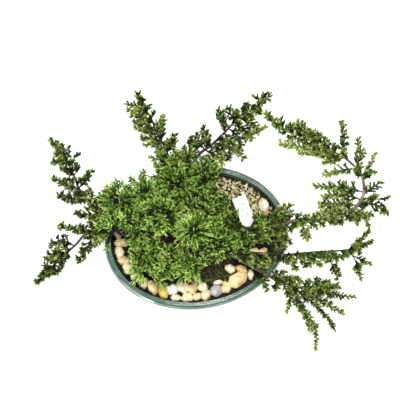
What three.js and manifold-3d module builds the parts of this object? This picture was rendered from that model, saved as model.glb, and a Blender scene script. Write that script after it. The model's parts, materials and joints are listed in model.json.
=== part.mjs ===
// Juniper bonsai in a green glazed oval pot, dressed with river pebbles, a bed of gravel and a blank plant
// tag. Millimetres, +Z up, +X along the pot's long side, +Y to its back. Places are measured from the
// middle of the pot's foot, and the finished group is moved so that the whole plant stands centred over the
// origin.
import * as THREE from "three";
import { mergeVertices } from "three/addons/utils/BufferGeometryUtils.js";
import Module from "manifold-3d";

const wasm = await Module();
wasm.setup();

// Gap kept between pieces that rest on each other.
const SEAT = 0.3;

// Pot: an 8 by 6.5 inch oval. Insets run inwards from the outer edge of its rim.
const RIM_HALF_WIDTH = 104;
const RIM_HALF_DEPTH = 83;
const POT_HEIGHT = 62;
const POT_SIDES = 28;
const FOOT_HEIGHT = 6;
const FLOOR_TOP = 12;
const LIP_ROLL = 3;
const LIP_WIDTH = 7.4;
const INNER_INSET = 8.2;
const FLOOR_INSET = 34;
const WALL_FOOT = [24, FLOOR_TOP + 4];
const BASE_INSET = 22;
const OUTSIDE = [[BASE_INSET + 4, 6], [BASE_INSET, 7.5], [13.5, 25], [7.6, 41], [5, 52], [3.2, 55]];
const LIP_CHAMFER = 1;
const FOOT_INSET = 23;
const FOOT_WIDTH = 8;
const FOOT_ANGLES = [38, 142, 218, 322];
const FOOT_SPREAD = 13;
const DRAIN_X = 36;
const DRAIN_RADIUS = 6.5;

// Drain screens, laid on the floor over the two holes.
const SCREEN_SIZE = 25;
const SCREEN_THICKNESS = 1.2;
const SCREEN_MESH = 10;
const SCREEN_HOLE = 6;

// Soil, and what lies on it.
const SOIL_LEVEL = 51;
const SOIL_INSET = 0.5;
const MOUND_HEIGHT = 7;
const MOUND_SHARES = [0.62, 0.44, 0.22];
const MOUND_ROUGHNESS = 1.2;
const GRAVEL_ARC = [14, 68];
const GRAVEL_BAND = [0.64, 0.975];
const GRAVEL_CELLS = [14, 6];
const CHIP_LOW = 1.4;
const CHIP_HIGH = 4.4;

// Tag: a plate on a stake, leaning back over the gravel. It is drawn flat, with the soil line at y = 0.
const TAG_THICKNESS = 0.8;
const TAG_OUTLINE = [
  [0, -22], [2.6, -15], [3, 3], [7.6, 8], [8, 39], [6.2, 42.5], [4.6, 39.5], [-8, 39], [-7.6, 8], [-3, 3],
  [-2.6, -15],
];
const TAG_FOOT = [62.4, 0.5, SOIL_LEVEL];
const TAG_TURN = 14;
const TAG_SLOPE = 27;

// Trunk, from its foot in the soil to where the last limbs part: place and radius.
const TRUNK = [
  [-11, -2, 38, 9],
  [-11, -2, 55, 9],
  [-11.5, -2, 63, 7.6],
  [-14, -1.5, 74, 6.8],
  [-18, 0, 85, 5.8],
  [-22, 2, 95, 4.4],
];
const TRUNK_SIDES = 8;

// Shoots: a slim three-sided core that bears a whorl of three needles on each step.
const SHOOT_RADIUS = 1.05;
const ROOT_RADIUS = 0.5;
const WHORL_STEP = 4;
const WHORL_TURN = 34;
const NEEDLE_LENGTH = 6;
const NEEDLE_LEANS = [42, 24, 12];
const BUD_LENGTH = 4.5;
const SHOOT_LIFT = 0.14;
const NEEDLE_FOOT = 1.3;
const LEAF_GAP = 0.45;
const CORE_GAP = 0.9;
const RIM_CLEAR = 2.2;

// Seven long branches. A route runs from the limb's root in the trunk to the tip. Its first bare
// millimetres are wood and belong to the trunk, and the rest is leafy. Forks start on the branch and are
// leafy all along.
const BRANCHES = [
  {
    name: "branch_left_upper",
    color: 0x4f7a2c,
    radius: 3.2,
    bare: 50,
    route: [
      [-19, 1, 84], [-40, 12, 90], [-64, 23, 94], [-90, 32, 94], [-106, 42, 91], [-120, 66, 86], [-125, 87, 82],
      [-132, 109, 78], [-140, 127, 75], [-148, 137, 73],
    ],
    forks: [
      [[-121, 66, 86], [-137, 79, 83], [-151, 90, 80]],
      [[-109, 44, 91], [-127, 53, 86], [-147, 67, 82]],
      [[-98, 36, 92], [-115, 33, 88], [-129, 41, 84]],
      [[-131, 103, 79], [-149, 107, 77]],
      [[-119, 70, 85], [-110, 79, 88], [-103, 87, 91]],
    ],
  },
  {
    name: "branch_left_lower",
    color: 0x4f7a2c,
    radius: 3,
    bare: 50,
    route: [
      [-19, 0, 79], [-42, 9, 84], [-66, 14, 89], [-83, 19, 89], [-100, 20, 87], [-120, 17, 82], [-133, 9, 75],
      [-151, -1, 67], [-171, -13, 60], [-186, -25, 56],
    ],
    forks: [
      [[-113, 19, 85], [-134, 26, 80], [-150, 32, 77]],
      [[-112, 18, 84], [-122, 2, 79], [-135, -14, 74]],
      [[-133, 9, 75], [-149, 15, 72], [-165, 10, 68]],
    ],
  },
  {
    name: "branch_back_left",
    color: 0x466f2a,
    radius: 2.8,
    bare: 54,
    route: [
      [-21, 2, 90], [-19, 30, 96], [-18, 56, 99], [-18, 82, 97], [-20, 100, 96], [-26, 117, 94], [-29, 136, 92],
      [-35, 152, 90], [-40, 172, 88],
    ],
    forks: [
      [[-35, 150, 90], [-56, 160, 88]],
      [[-29, 132, 92], [-50, 141, 90]],
      [[-26, 114, 94], [-50, 128, 91]],
      [[-26, 113, 94], [-16, 133, 98]],
      [[-19, 96, 96], [-5, 110, 99]],
    ],
  },
  {
    name: "branch_back_right",
    color: 0x4a732b,
    radius: 2.8,
    bare: 52,
    route: [
      [-16, 1, 84], [-7, 26, 91], [-4, 50, 96], [14, 78, 101], [34, 90, 102], [54, 105, 102], [71, 119, 101],
      [89, 123, 100], [103, 141, 98],
    ],
    forks: [
      [[39, 94, 102], [26, 114, 104]],
      [[59, 109, 102], [46, 127, 103]],
      [[36, 91, 102], [54, 80, 97], [64, 66, 92]],
      [[50, 102, 102], [66, 93, 99], [93, 101, 97]],
      [[95, 128, 99], [84, 141, 98]],
    ],
  },
  {
    name: "branch_right_curl",
    color: 0x466b2a,
    radius: 3.2,
    bare: 66,
    route: [
      [-12, -2, 75], [20, -5, 82], [50, -9, 87], [87, -11, 90], [105, -10, 91], [140, -15, 93], [170, -11, 96],
      [187, 5, 99], [189, 24, 102], [183, 37, 104], [172, 50, 106], [158, 60, 108], [145, 70, 110],
      [127, 81, 112], [111, 92, 113], [100, 105, 113], [95, 113, 112],
    ],
    forks: [
      [[76, -10, 89], [79, 0, 94], [80, 10, 97]],
      [[91, -11, 90], [102, 1, 92], [108, 15, 93]],
      [[84, -11, 90], [92, -24, 88], [101, -34, 85]],
      [[112, -11, 91], [117, -22, 89], [118, -34, 87]],
      [[172, 50, 106], [178, 70, 110], [179, 90, 112]],
      [[186, 34, 103], [193, 50, 107], [194, 68, 110]],
      [[189, 22, 102], [201, 36, 105], [209, 48, 106]],
      [[188, 12, 100], [205, 16, 102]],
      [[172, -10, 96], [196, -2, 99], [217, 0, 98]],
      [[160, -12, 95], [187, -20, 93], [210, -19, 91]],
      [[187, 29, 103], [168, 34, 101], [148, 34, 100]],
      [[188, 9, 100], [160, 21, 99], [136, 23, 98]],
      [[169, -11, 96], [150, 3, 96], [136, 5, 95]],
    ],
  },
  {
    name: "branch_right_middle",
    color: 0x43682a,
    radius: 2.8,
    bare: 58,
    route: [
      [-10, -4, 70], [20, -22, 79], [46, -33, 83], [72, -40, 84], [91, -44, 83], [112, -45, 81], [132, -46, 79],
      [155, -48, 77], [168, -46, 76], [189, -31, 79],
    ],
    forks: [
      [[62, -38, 84], [70, -49, 87]],
      [[158, -48, 77], [172, -59, 74], [186, -70, 71]],
      [[152, -48, 77], [164, -67, 71], [170, -86, 67]],
      [[130, -46, 79], [139, -62, 74], [144, -79, 68]],
      [[100, -45, 82], [112, -57, 79], [122, -66, 76]],
    ],
  },
  {
    name: "branch_right_lower",
    color: 0x43682a,
    radius: 3,
    bare: 66,
    route: [
      [-9, -6, 66], [12, -21, 73], [34, -33, 78], [54, -50, 80], [68, -61, 78], [80, -71, 75], [95, -78, 70],
      [114, -80, 66], [133, -84, 62], [147, -83, 60],
    ],
    forks: [
      [[60, -55, 79], [62, -69, 76], [64, -79, 72]],
      [[100, -79, 69], [131, -92, 61], [161, -97, 54]],
      [[104, -80, 68], [125, -99, 59], [147, -114, 51]],
      [[94, -78, 70], [106, -95, 62], [122, -109, 54], [133, -130, 46]],
      [[90, -77, 71], [101, -101, 60], [113, -126, 49], [110, -147, 42]],
      [[88, -76, 72], [85, -90, 66], [84, -104, 60]],
    ],
  },
];
const BRANCH_SIDES = 4;
const STEM_STEP = 17;
const FORK_RADIUS = 1.3;
const FORK_SIDES = 3;
const STALK_WHORL_STEP = 5.5;
const LEAFY_TIP = 12;
const SHOOT_SPACING = 17.6;
const SHOOT_WHORLS = 2;
const SHOOT_SPREAD = 52;

// Crown: pads of upright shoots on a small dense heart. A route runs from a limb to the middle of the pad's
// heart.
const PADS = [
  { route: [[-34, 9, 89], [-42, 26, 98], [-48, 38, 108], [-48, 40, 118]], heart: 15 },
  { route: [[-52, 17, 92], [-64, 32, 95], [-74, 38, 100], [-77, 39, 110]], heart: 14 },
  { route: [[-46, 10, 85], [-66, 4, 94], [-82, 5, 99], [-87, 8, 107]], heart: 13 },
  { route: [[-19, 24, 95], [-17, 36, 104], [-15, 42, 110], [-15, 44, 119]], heart: 15 },
  { route: [[-5, 36, 93], [6, 42, 99], [16, 46, 105], [19, 47, 114]], heart: 15 },
  { route: [[4, -3, 79], [26, 10, 92], [36, 20, 101], [38, 22, 111]], heart: 15 },
  { route: [[-19, 0, 91], [-11, -8, 106], [-6, -13, 119], [-4, -13, 130]], heart: 15 },
  { route: [[-22, 2, 93], [-28, 5, 108], [-32, 8, 121], [-33, 9, 132]], heart: 15 },
  { route: [[-40, 12, 90], [-52, 8, 102], [-60, 5, 111], [-62, 4, 121]], heart: 15 },
  { route: [[-16, -2, 79], [-38, -14, 88], [-54, -23, 96], [-58, -25, 105]], heart: 12 },
  { route: [[-15, -3, 73], [-38, -22, 77], [-62, -34, 81], [-71, -37, 85], [-73, -37, 93]], heart: 10 },
  { route: [[-14, -3, 71], [-26, -22, 79], [-36, -33, 88], [-38, -36, 98]], heart: 12 },
  { route: [[-12, -4, 67], [-12, -24, 76], [-12, -37, 84], [-12, -40, 94]], heart: 15 },
  { route: [[-16, -1, 81], [2, -16, 94], [13, -24, 105], [16, -27, 115]], heart: 15 },
  { route: [[22, -5, 82], [34, -6, 91], [41, -8, 98], [43, -9, 107]], heart: 14 },
];
const PAD_COLORS = [0x6f9f2f, 0x679831, 0x77a834];
const PAD_RADIUS = 1.7;
const PAD_STALK = 11.5;
const HEART_FLATNESS = 0.62;
const HEART_SINK = 0.72;
const PAD_SHOOTS = 8;
const PAD_WHORLS = 2;
const PAD_OPENING = 86;

// Pebbles: place, width, depth, height, turn in degrees and colour. The last two lie on the gravel.
const PEBBLES = [
  [-87, 18.5, 6.5, 10, 6, 10, 0xcdb48a],
  [-74.5, 18.6, 11, 8.5, 6.5, 0, 0xe6dcc0],
  [-83.5, 7.6, 13.5, 8, 6, -6, 0xc8a263],
  [-88, -3.3, 8.5, 11, 6, 0, 0xd9c69e],
  [-84.5, -13.8, 11, 8, 6.5, -14, 0xd0a468],
  [-81, -23.8, 11, 9, 6, -30, 0xebe3cd],
  [-74, -33.5, 11, 8.5, 6, -34, 0xf1ede1],
  [-66.3, -42.5, 8.5, 9.5, 6, 28, 0xe5d8b5],
  [-57.2, -49.5, 8.5, 13, 7, 18, 0xd2b27c],
  [-46.8, -55.5, 8, 13, 6, -4, 0xdcb450],
  [-36.8, -55, 10, 8.5, 6.5, 10, 0xf4f1e8],
  [-34.4, -64.6, 11.5, 8, 6, -10, 0xefe8d6],
  [-24.5, -55.2, 13, 9.5, 7, -24, 0xe8d9b2],
  [-15.2, -47.3, 6, 6, 4.5, 0, 0xb0743c],
  [-21.6, -66.9, 11.5, 8, 6, 4, 0xeddcb4],
  [-13.4, -57.3, 8, 11.5, 7, -26, 0xdcb878],
  [-10.6, -68, 8.5, 7, 5.5, 0, 0xd8b681],
  [-3.4, -58.2, 8.5, 8, 6, 0, 0xe9dbb8],
  [-0.4, -67.4, 10, 8.5, 6.5, 30, 0xe2cc9c],
  [10.8, -64, 11, 10, 6.5, 20, 0xa5a4a1],
  [15.2, -55.6, 8, 4.2, 4, 0, 0xf0e8d6],
  [23, -62.6, 8, 10, 6, -14, 0xdda35c],
  [36.4, -56.4, 17.5, 12, 8.5, 22, 0xd9954a],
  [43.5, -45.8, 9.5, 7, 5.5, -36, 0xd99a44],
  [31, -42.6, 10, 7.5, 5.5, -42, 0xe4d7b6],
  [52.2, -53.2, 5.5, 9.5, 5.5, -14, 0xefe6cf],
  [60.4, -27.6, 9, 6.4, 5, 0, 0xd9bd8c],
  [71, -29.4, 10, 6.4, 5, 6, 0xd9b060],
  [81.4, 23.5, 8.5, 12, 6, 20, 0xdcdad0],
  [84.4, 13.2, 5.5, 6.5, 4.5, 30, 0xc98242],
];
const PEBBLES_ON_GRAVEL = 2;
const PEBBLE_BASE = 0.7;
const PEBBLE_REST = 0.2;

const UP = new THREE.Vector3(0, 0, 1);
const BACK = new THREE.Vector3(0, 1, 0);
const vector = (place) => new THREE.Vector3(place[0], place[1], place[2]);
const mix = THREE.MathUtils.lerp;
const radians = THREE.MathUtils.degToRad;

// A steady number from 0 to 1 for each whole number n.
function scatter(n) {
  const value = Math.sin(n * 12.9898 + 4.137) * 43758.5453;
  return value - Math.floor(value);
}

function geometryOf(points, faces) {
  const geometry = new THREE.BufferGeometry().setFromPoints(points);
  geometry.setIndex(faces);
  return geometry;
}

// Turns a closed geometry into a solid that can be joined and cut.
function solidOf(geometry) {
  const bare = geometry.clone();
  bare.deleteAttribute("normal");
  bare.deleteAttribute("uv");
  const merged = mergeVertices(bare, 1e-4);
  const vertProperties = new Float32Array(merged.attributes.position.array);
  const triVerts = new Uint32Array(merged.index.array);
  return new wasm.Manifold(new wasm.Mesh({ numProp: 3, vertProperties, triVerts }));
}

function geometryOfSolid(solid) {
  const mesh = solid.getMesh();
  const geometry = new THREE.BufferGeometry();
  geometry.setAttribute("position", new THREE.BufferAttribute(mesh.vertProperties, 3));
  geometry.setIndex(new THREE.BufferAttribute(mesh.triVerts, 1));
  return geometry;
}

function join(geometries) {
  return geometryOfSolid(geometries.map(solidOf).reduce((whole, next) => whole.add(next)));
}

function cut(geometry, tools) {
  return geometryOfSolid(tools.map(solidOf).reduce((whole, tool) => whole.subtract(tool), solidOf(geometry)));
}

function middle(ring) {
  const sum = ring.reduce((total, point) => total.add(point), new THREE.Vector3());
  return sum.divideScalar(ring.length);
}

// A closed body through rings of equal length, each counterclockwise when seen from the end that it runs
// to.
function loft(rings) {
  const size = rings[0].length;
  const last = (rings.length - 1) * size;
  const points = rings.flat();
  const start = points.push(middle(rings[0])) - 1;
  const end = points.push(middle(rings.at(-1))) - 1;
  const faces = [];
  for (let j = 0; j < size; j++) {
    const k = (j + 1) % size;
    for (let i = 0; i + 1 < rings.length; i++) {
      const base = i * size;
      const above = base + size;
      faces.push(base + j, base + k, above + k, base + j, above + k, above + j);
    }
    faces.push(start, k, j, end, last + j, last + k);
  }
  return geometryOf(points, faces);
}

// Directions and cross axes along a line of points, turned as little as possible from one to the next. The
// first two share a direction, which keeps the faces between them flat, unless the line is cut square to a
// given one.
function framesAlong(points, cuts = {}) {
  const frames = [];
  let side = null;
  points.forEach((point, i) => {
    const before = points[Math.max(i - 1, 0)];
    const after = points[i < 2 ? 1 : Math.min(i + 1, points.length - 1)];
    const square = (i === 0 && cuts.start) || (i === points.length - 1 && cuts.end);
    const along = square ? square.clone() : after.clone().sub(before).normalize();
    if (side === null) {
      const upright = Math.abs(along.z) > 0.9;
      side = new THREE.Vector3().crossVectors(upright ? BACK : UP, along);
    }
    side = side.clone().addScaledVector(along, -side.dot(along)).normalize();
    frames.push({ point, along, side, over: new THREE.Vector3().crossVectors(along, side) });
  });
  return frames;
}

function ringAround(frame, radius, sides, turn = 0) {
  return Array.from({ length: sides }, (_, j) => {
    const angle = turn + (j / sides) * Math.PI * 2;
    const across = frame.point.clone().addScaledVector(frame.side, radius * Math.cos(angle));
    return across.addScaledVector(frame.over, radius * Math.sin(angle));
  });
}

function tube(points, radii, sides, cuts) {
  return loft(framesAlong(points, cuts).map((frame, i) => ringAround(frame, radii[i], sides)));
}

// A point of the pot's oval, inset from the rim's edge.
function ovalPoint(inset, angle, z, share = 1) {
  const x = (RIM_HALF_WIDTH - inset) * share * Math.cos(angle);
  return new THREE.Vector3(x, (RIM_HALF_DEPTH - inset) * share * Math.sin(angle), z);
}

function ovalRing(inset, z, share = 1) {
  const step = (Math.PI * 2) / POT_SIDES;
  return Array.from({ length: POT_SIDES }, (_, i) => ovalPoint(inset, i * step, z, share));
}

function potFoot(degrees) {
  const steps = 4;
  const outline = (z, spread) => {
    const arc = (inset, from, to) =>
      Array.from({ length: steps }, (_, i) => ovalPoint(inset, radians(mix(from, to, i / (steps - 1))), z));
    const outer = arc(FOOT_INSET, degrees - spread, degrees + spread);
    return outer.concat(arc(FOOT_INSET + FOOT_WIDTH, degrees + spread, degrees - spread));
  };
  return loft([outline(0, FOOT_SPREAD - 1.5), outline(FOOT_HEIGHT + 1, FOOT_SPREAD)]);
}

// The pot's section, from the middle of its base out and up over the lip, and down inside to the floor.
function pot() {
  const roll = [-60, -20, 20, 60].map((degrees) => [
    LIP_ROLL - LIP_ROLL * Math.cos(radians(degrees)),
    POT_HEIGHT - LIP_ROLL + LIP_ROLL * Math.sin(radians(degrees)),
  ]);
  const inside = [
    [LIP_WIDTH - LIP_CHAMFER, POT_HEIGHT - LIP_ROLL / 8],
    [LIP_WIDTH, POT_HEIGHT - LIP_CHAMFER * 1.4],
    [INNER_INSET, SOIL_LEVEL],
    WALL_FOOT,
    [FLOOR_INSET, FLOOR_TOP],
  ];
  const section = [...OUTSIDE, ...roll, ...inside];
  const body = loft(section.map(([inset, z]) => ovalRing(inset, z)));
  const drains = [-DRAIN_X, DRAIN_X].map((x) =>
    new THREE.CylinderGeometry(DRAIN_RADIUS, DRAIN_RADIUS, FLOOR_TOP * 2, 12)
      .rotateX(Math.PI / 2)
      .translate(x, 0, FLOOR_TOP),
  );
  return cut(join([body, ...FOOT_ANGLES.map(potFoot)]), drains);
}

function drainScreen(x) {
  const sheet = new THREE.BoxGeometry(SCREEN_SIZE, SCREEN_SIZE, SCREEN_THICKNESS);
  const holes = [];
  for (const row of [-0.5, 0.5]) {
    for (const column of [-0.5, 0.5]) {
      const hole = new THREE.BoxGeometry(SCREEN_HOLE, SCREEN_HOLE, SCREEN_THICKNESS * 2);
      holes.push(hole.translate(column * SCREEN_MESH, row * SCREEN_MESH, 0));
    }
  }
  return cut(sheet, holes).translate(x, 0, FLOOR_TOP + SEAT + SCREEN_THICKNESS / 2);
}

// Soil from the floor to its level, mounded round the trunk, with plain holes for the trunk's foot and the
// tag.
function soil() {
  const section = [
    [FLOOR_INSET, FLOOR_TOP + SEAT],
    [WALL_FOOT[0], WALL_FOOT[1] + SEAT],
    [INNER_INSET, SOIL_LEVEL],
  ];
  const rings = section.map(([inset, z]) => ovalRing(inset + SOIL_INSET, z));
  for (const share of MOUND_SHARES) {
    const climb = 1 - (share / MOUND_SHARES[0]) ** 2;
    const ring = ovalRing(INNER_INSET, SOIL_LEVEL + MOUND_HEIGHT * climb, share);
    ring.forEach((point, i) => {
      point.z += climb > 0 ? MOUND_ROUGHNESS * (scatter(i + share * 1000) - 0.5) : 0;
    });
    rings.push(ring);
  }
  const [x, y, z, radius] = TRUNK[0];
  const socket = new THREE.CylinderGeometry(radius + 2 * SEAT, radius + 2 * SEAT, POT_HEIGHT - z, TRUNK_SIDES)
    .rotateX(Math.PI / 2)
    .translate(x, y, (z + POT_HEIGHT) / 2 - SEAT);
  const recesses = [-DRAIN_X, DRAIN_X].map((drain) =>
    new THREE.BoxGeometry(SCREEN_SIZE + 2 * SEAT, SCREEN_SIZE + 2 * SEAT, SCREEN_THICKNESS + 2 * SEAT)
      .translate(drain, 0, FLOOR_TOP + SEAT + SCREEN_THICKNESS / 2),
  );
  return cut(loft(rings), [socket, tagPlate(TAG_THICKNESS + 2 * SEAT, 2 * SEAT), ...recesses]);
}

// The tag's outline made solid and leaned over. It is grown for the slot that the tag stands in.
function tagPlate(thickness, grow = 0) {
  const places = TAG_OUTLINE.map(([x, y]) => {
    return new THREE.Vector2(x + Math.sign(x) * grow, y < 0 ? y - grow : y);
  });
  const shape = new THREE.Shape(places);
  const geometry = new THREE.ExtrudeGeometry(shape, { depth: thickness, bevelEnabled: false });
  return geometry
    .translate(0, 0, -thickness / 2)
    .rotateX(radians(TAG_SLOPE))
    .rotateZ(radians(TAG_TURN))
    .translate(...TAG_FOOT);
}

function gravelPlace(i, j, height) {
  const [cellsAround, cellsAcross] = GRAVEL_CELLS;
  const angle = radians(mix(GRAVEL_ARC[0], GRAVEL_ARC[1], i / cellsAround));
  const share = mix(GRAVEL_BAND[0], GRAVEL_BAND[1], j / cellsAcross);
  return ovalPoint(INNER_INSET, angle, SOIL_LEVEL + SEAT + height, share);
}

function chipPeak(i, j) {
  const seed = 400 + i * 17 + j;
  const height = mix(CHIP_LOW + 1, CHIP_HIGH, scatter(seed + 500));
  return gravelPlace(i + mix(0.3, 0.7, scatter(seed)), j + mix(0.3, 0.7, scatter(seed + 200)), height);
}

// Chips of gravel as relief: every cell of a bent grid rises to its own peak.
function gravelBed() {
  const [cellsAround, cellsAcross] = GRAVEL_CELLS;
  const points = [];
  const faces = [];
  const corner = (i, j, top) => (i * (cellsAcross + 1) + j) * 2 + top;
  for (let i = 0; i <= cellsAround; i++) {
    for (let j = 0; j <= cellsAcross; j++) {
      points.push(gravelPlace(i, j, 0), gravelPlace(i, j, CHIP_LOW * (0.5 + scatter(i * 31 + j))));
    }
  }
  const wall = (a, b) => faces.push(a, b, b + 1, a, b + 1, a + 1);
  for (let i = 0; i < cellsAround; i++) {
    for (let j = 0; j < cellsAcross; j++) {
      const low = [corner(i, j, 0), corner(i, j + 1, 0), corner(i + 1, j + 1, 0), corner(i + 1, j, 0)];
      faces.push(low[0], low[2], low[1], low[0], low[3], low[2]);
      const top = points.push(chipPeak(i, j)) - 1;
      low.forEach((point, side) => faces.push(point + 1, low[(side + 1) % 4] + 1, top));
    }
    wall(corner(i + 1, 0, 0), corner(i, 0, 0));
    wall(corner(i, cellsAcross, 0), corner(i + 1, cellsAcross, 0));
  }
  for (let j = 0; j < cellsAcross; j++) {
    wall(corner(0, j, 0), corner(0, j + 1, 0));
    wall(corner(cellsAround, j + 1, 0), corner(cellsAround, j, 0));
  }
  return geometryOf(points, faces);
}

// The height of the highest chip within a distance of a place, or of the low parts between chips.
function gravelTop(x, y, reach) {
  const [cellsAround, cellsAcross] = GRAVEL_CELLS;
  let top = SOIL_LEVEL + SEAT + CHIP_LOW / 4;
  for (let i = 0; i < cellsAround; i++) {
    for (let j = 0; j < cellsAcross; j++) {
      const peak = chipPeak(i, j);
      top = Math.hypot(peak.x - x, peak.y - y) < reach ? Math.max(top, peak.z) : top;
    }
  }
  return top;
}

function pebble([x, y, width, depth, height, turn], index) {
  const ball = new THREE.SphereGeometry(1, 6, 4).rotateX(Math.PI / 2);
  ball.deleteAttribute("normal");
  ball.deleteAttribute("uv");
  const stone = mergeVertices(ball, 1e-4);
  const places = stone.attributes.position;
  for (let i = 0; i < places.count; i++) {
    const swell = mix(0.86, 1.02, scatter(index * 40 + i));
    const z = Math.max(places.getZ(i) * swell, -PEBBLE_BASE);
    places.setXYZ(i, places.getX(i) * swell, places.getY(i) * swell, z);
  }
  const onGravel = index >= PEBBLES.length - PEBBLES_ON_GRAVEL;
  const seat = SEAT + (onGravel ? gravelTop(x, y, (width + depth) * PEBBLE_REST) : SOIL_LEVEL);
  const half = height / (1 + PEBBLE_BASE);
  return stone
    .scale(width / 2, depth / 2, half)
    .rotateZ(radians(turn))
    .translate(x, y, seat + half * PEBBLE_BASE);
}

// What leaves must keep clear of: tapered rods, each with the node and the shoot that it belongs to. A
// pad's own needles start outside its heart, whose shoot is null.
const rods = [];

function addRod(from, to, fromRadius, toRadius, node, shoot = -1) {
  rods.push({ line: new THREE.Line3(from, to), fromRadius, toRadius, node, shoot });
}

// Nearest distance between the skins of two rods, by their nearest points.
function gapBetween(a, b) {
  const p = a.line.delta(new THREE.Vector3());
  const q = b.line.delta(new THREE.Vector3());
  const r = a.line.start.clone().sub(b.line.start);
  const pp = p.dot(p);
  const qq = q.dot(q);
  const pq = p.dot(q);
  const pr = p.dot(r);
  const qr = q.dot(r);
  const spread = pp * qq - pq * pq;
  const s0 = spread > 1e-9 ? (pq * qr - pr * qq) / spread : -pr / Math.max(pp, 1e-9);
  let s = THREE.MathUtils.clamp(s0, 0, 1);
  let t = qq > 1e-9 ? (pq * s + qr) / qq : 0;
  if (t < 0 || t > 1) {
    t = THREE.MathUtils.clamp(t, 0, 1);
    s = pp > 1e-9 ? THREE.MathUtils.clamp((pq * t - pr) / pp, 0, 1) : 0;
  }
  const distance = r.addScaledVector(p, s).addScaledVector(q, -t).length();
  return distance - mix(a.fromRadius, a.toRadius, s) - mix(b.fromRadius, b.toRadius, t);
}

// Leaves stay above the rim and what lies inside it, and above the ground elsewhere.
function aboveGround(place) {
  const overPot = Math.hypot(place.x / (RIM_HALF_WIDTH + 3), place.y / (RIM_HALF_DEPTH + 3)) < 1;
  return place.z > (overPot ? POT_HEIGHT + RIM_CLEAR : RIM_CLEAR);
}

function isClear(rod, gap, sameNodeGap) {
  if (!aboveGround(rod.line.end)) {
    return false;
  }
  return rods.every((other) => {
    const own = other.node === rod.node;
    if (own && (sameNodeGap === null || other.shoot === null || other.shoot === rod.shoot)) {
      return true;
    }
    const reach = rod.line.distance() / 2 + other.line.distance() / 2 + gap;
    const far = reach + Math.max(other.fromRadius, other.toRadius) + Math.max(rod.fromRadius, rod.toRadius);
    const middles = [rod, other].map(({ line }) => line.getCenter(new THREE.Vector3()));
    return middles[0].distanceTo(middles[1]) > far || gapBetween(rod, other) > (own ? sameNodeGap : gap);
  });
}

// The middle line of a shoot: a bare lead out of what it grows from, then a step for each whorl, lifted to
// the light.
function shootLine({ root, direction, lead }, whorls) {
  const steps = Array.from({ length: whorls + 1 }, (_, i) => {
    const out = root.clone().addScaledVector(direction, lead + i * WHORL_STEP);
    return out.addScaledVector(UP, (SHOOT_LIFT * (i * i * WHORL_STEP)) / whorls);
  });
  return [root, ...steps];
}

function budTip(line) {
  const along = line.at(-1).clone().sub(line.at(-2)).normalize();
  return line.at(-1).clone().addScaledVector(along, BUD_LENGTH);
}

// Takes a place for a shoot's core, shortened until it is clear of the cores of other nodes. Null where
// none fits.
function claimShoot(place, whorls, node, shoot) {
  for (let count = whorls; count >= 1; count--) {
    const line = shootLine(place, count);
    const core = new THREE.Line3(line[0], budTip(line));
    const rod = { line: core, fromRadius: SHOOT_RADIUS, toRadius: SHOOT_RADIUS, node, shoot };
    if (isClear(rod, CORE_GAP, null)) {
      rods.push(rod);
      const radii = [ROOT_RADIUS, ...Array(count + 1).fill(SHOOT_RADIUS)];
      return { line, radii, sides: 3, bare: 1, node, shoot };
    }
  }
  return null;
}

// Where a needle's tip may go: leant in towards the core until it meets no other. Undefined where it always
// would.
function needleTip(foot, out, along, node, shoot) {
  const tips = NEEDLE_LEANS.map((degrees) => {
    const reach = foot.clone().addScaledVector(out, NEEDLE_LENGTH * Math.sin(radians(degrees)));
    return reach.addScaledVector(along, NEEDLE_LENGTH * Math.cos(radians(degrees)));
  });
  return tips.find((tip) => {
    const rod = { line: new THREE.Line3(foot, tip), fromRadius: NEEDLE_FOOT, toRadius: 0, node, shoot };
    return isClear(rod, LEAF_GAP, 0.1);
  });
}

// A stem or shoot: a tube whose faces past the bare steps are each drawn out into a needle, closed by a
// bud.
function leafyTube({ line, radii, sides, bare, node, shoot, cuts }) {
  const frames = framesAlong(line, cuts);
  const rings = frames.map((frame, i) => {
    const turn = radians(WHORL_TURN) * Math.max(i - bare, 0) + shoot;
    return ringAround(frame, radii[i], sides, turn);
  });
  const points = rings.flat();
  const faces = [];
  for (let j = 1; j + 1 < sides; j++) {
    faces.push(0, j + 1, j);
  }
  for (let i = 0; i + 1 < rings.length; i++) {
    for (let j = 0; j < sides; j++) {
      const k = (j + 1) % sides;
      const base = [i * sides + j, i * sides + k, (i + 1) * sides + k, (i + 1) * sides + j];
      const foot = middle(base.map((corner) => points[corner]));
      const out = foot.clone().sub(middle([line[i], line[i + 1]])).normalize();
      const tip = i < bare ? undefined : needleTip(foot, out, frames[i].along, node, shoot);
      if (tip === undefined) {
        faces.push(base[0], base[1], base[2], base[0], base[2], base[3]);
        continue;
      }
      addRod(foot, tip, NEEDLE_FOOT, 0, node, shoot);
      const top = points.push(tip) - 1;
      base.forEach((corner, side) => faces.push(corner, base[(side + 1) % 4], top));
    }
  }
  const last = (line.length - 1) * sides;
  const bud = points.push(budTip(line)) - 1;
  for (let j = 0; j < sides; j++) {
    faces.push(last + j, last + ((j + 1) % sides), bud);
  }
  return geometryOf(points, faces);
}

function curveOf(route) {
  return new THREE.CatmullRomCurve3(route.map(vector), false, "catmullrom", 0.5);
}

// The straight steps of a finished stem, as a path that can be measured along.
function pathThrough(line) {
  const path = new THREE.CurvePath();
  line.slice(1).forEach((point, i) => path.add(new THREE.LineCurve3(line[i], point)));
  return path;
}

// A fork's route, begun at the nearest point of the stem that it grows from.
function rootedFork(fork, line) {
  const start = vector(fork[0]);
  const places = pathThrough(line).getSpacedPoints(300);
  places.sort((a, b) => a.distanceTo(start) - b.distanceTo(start));
  return [places[0].toArray(), ...fork.slice(1)];
}

// The part of a route between two distances along it, as evenly spaced points.
function stretch(route, from, to) {
  const curve = curveOf(route);
  const length = curve.getLength();
  const end = to ?? length;
  const steps = Math.max(1, Math.round((end - from) / STEM_STEP));
  return Array.from({ length: steps + 1 }, (_, i) => curve.getPointAt(mix(from, end, i / steps) / length));
}

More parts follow.
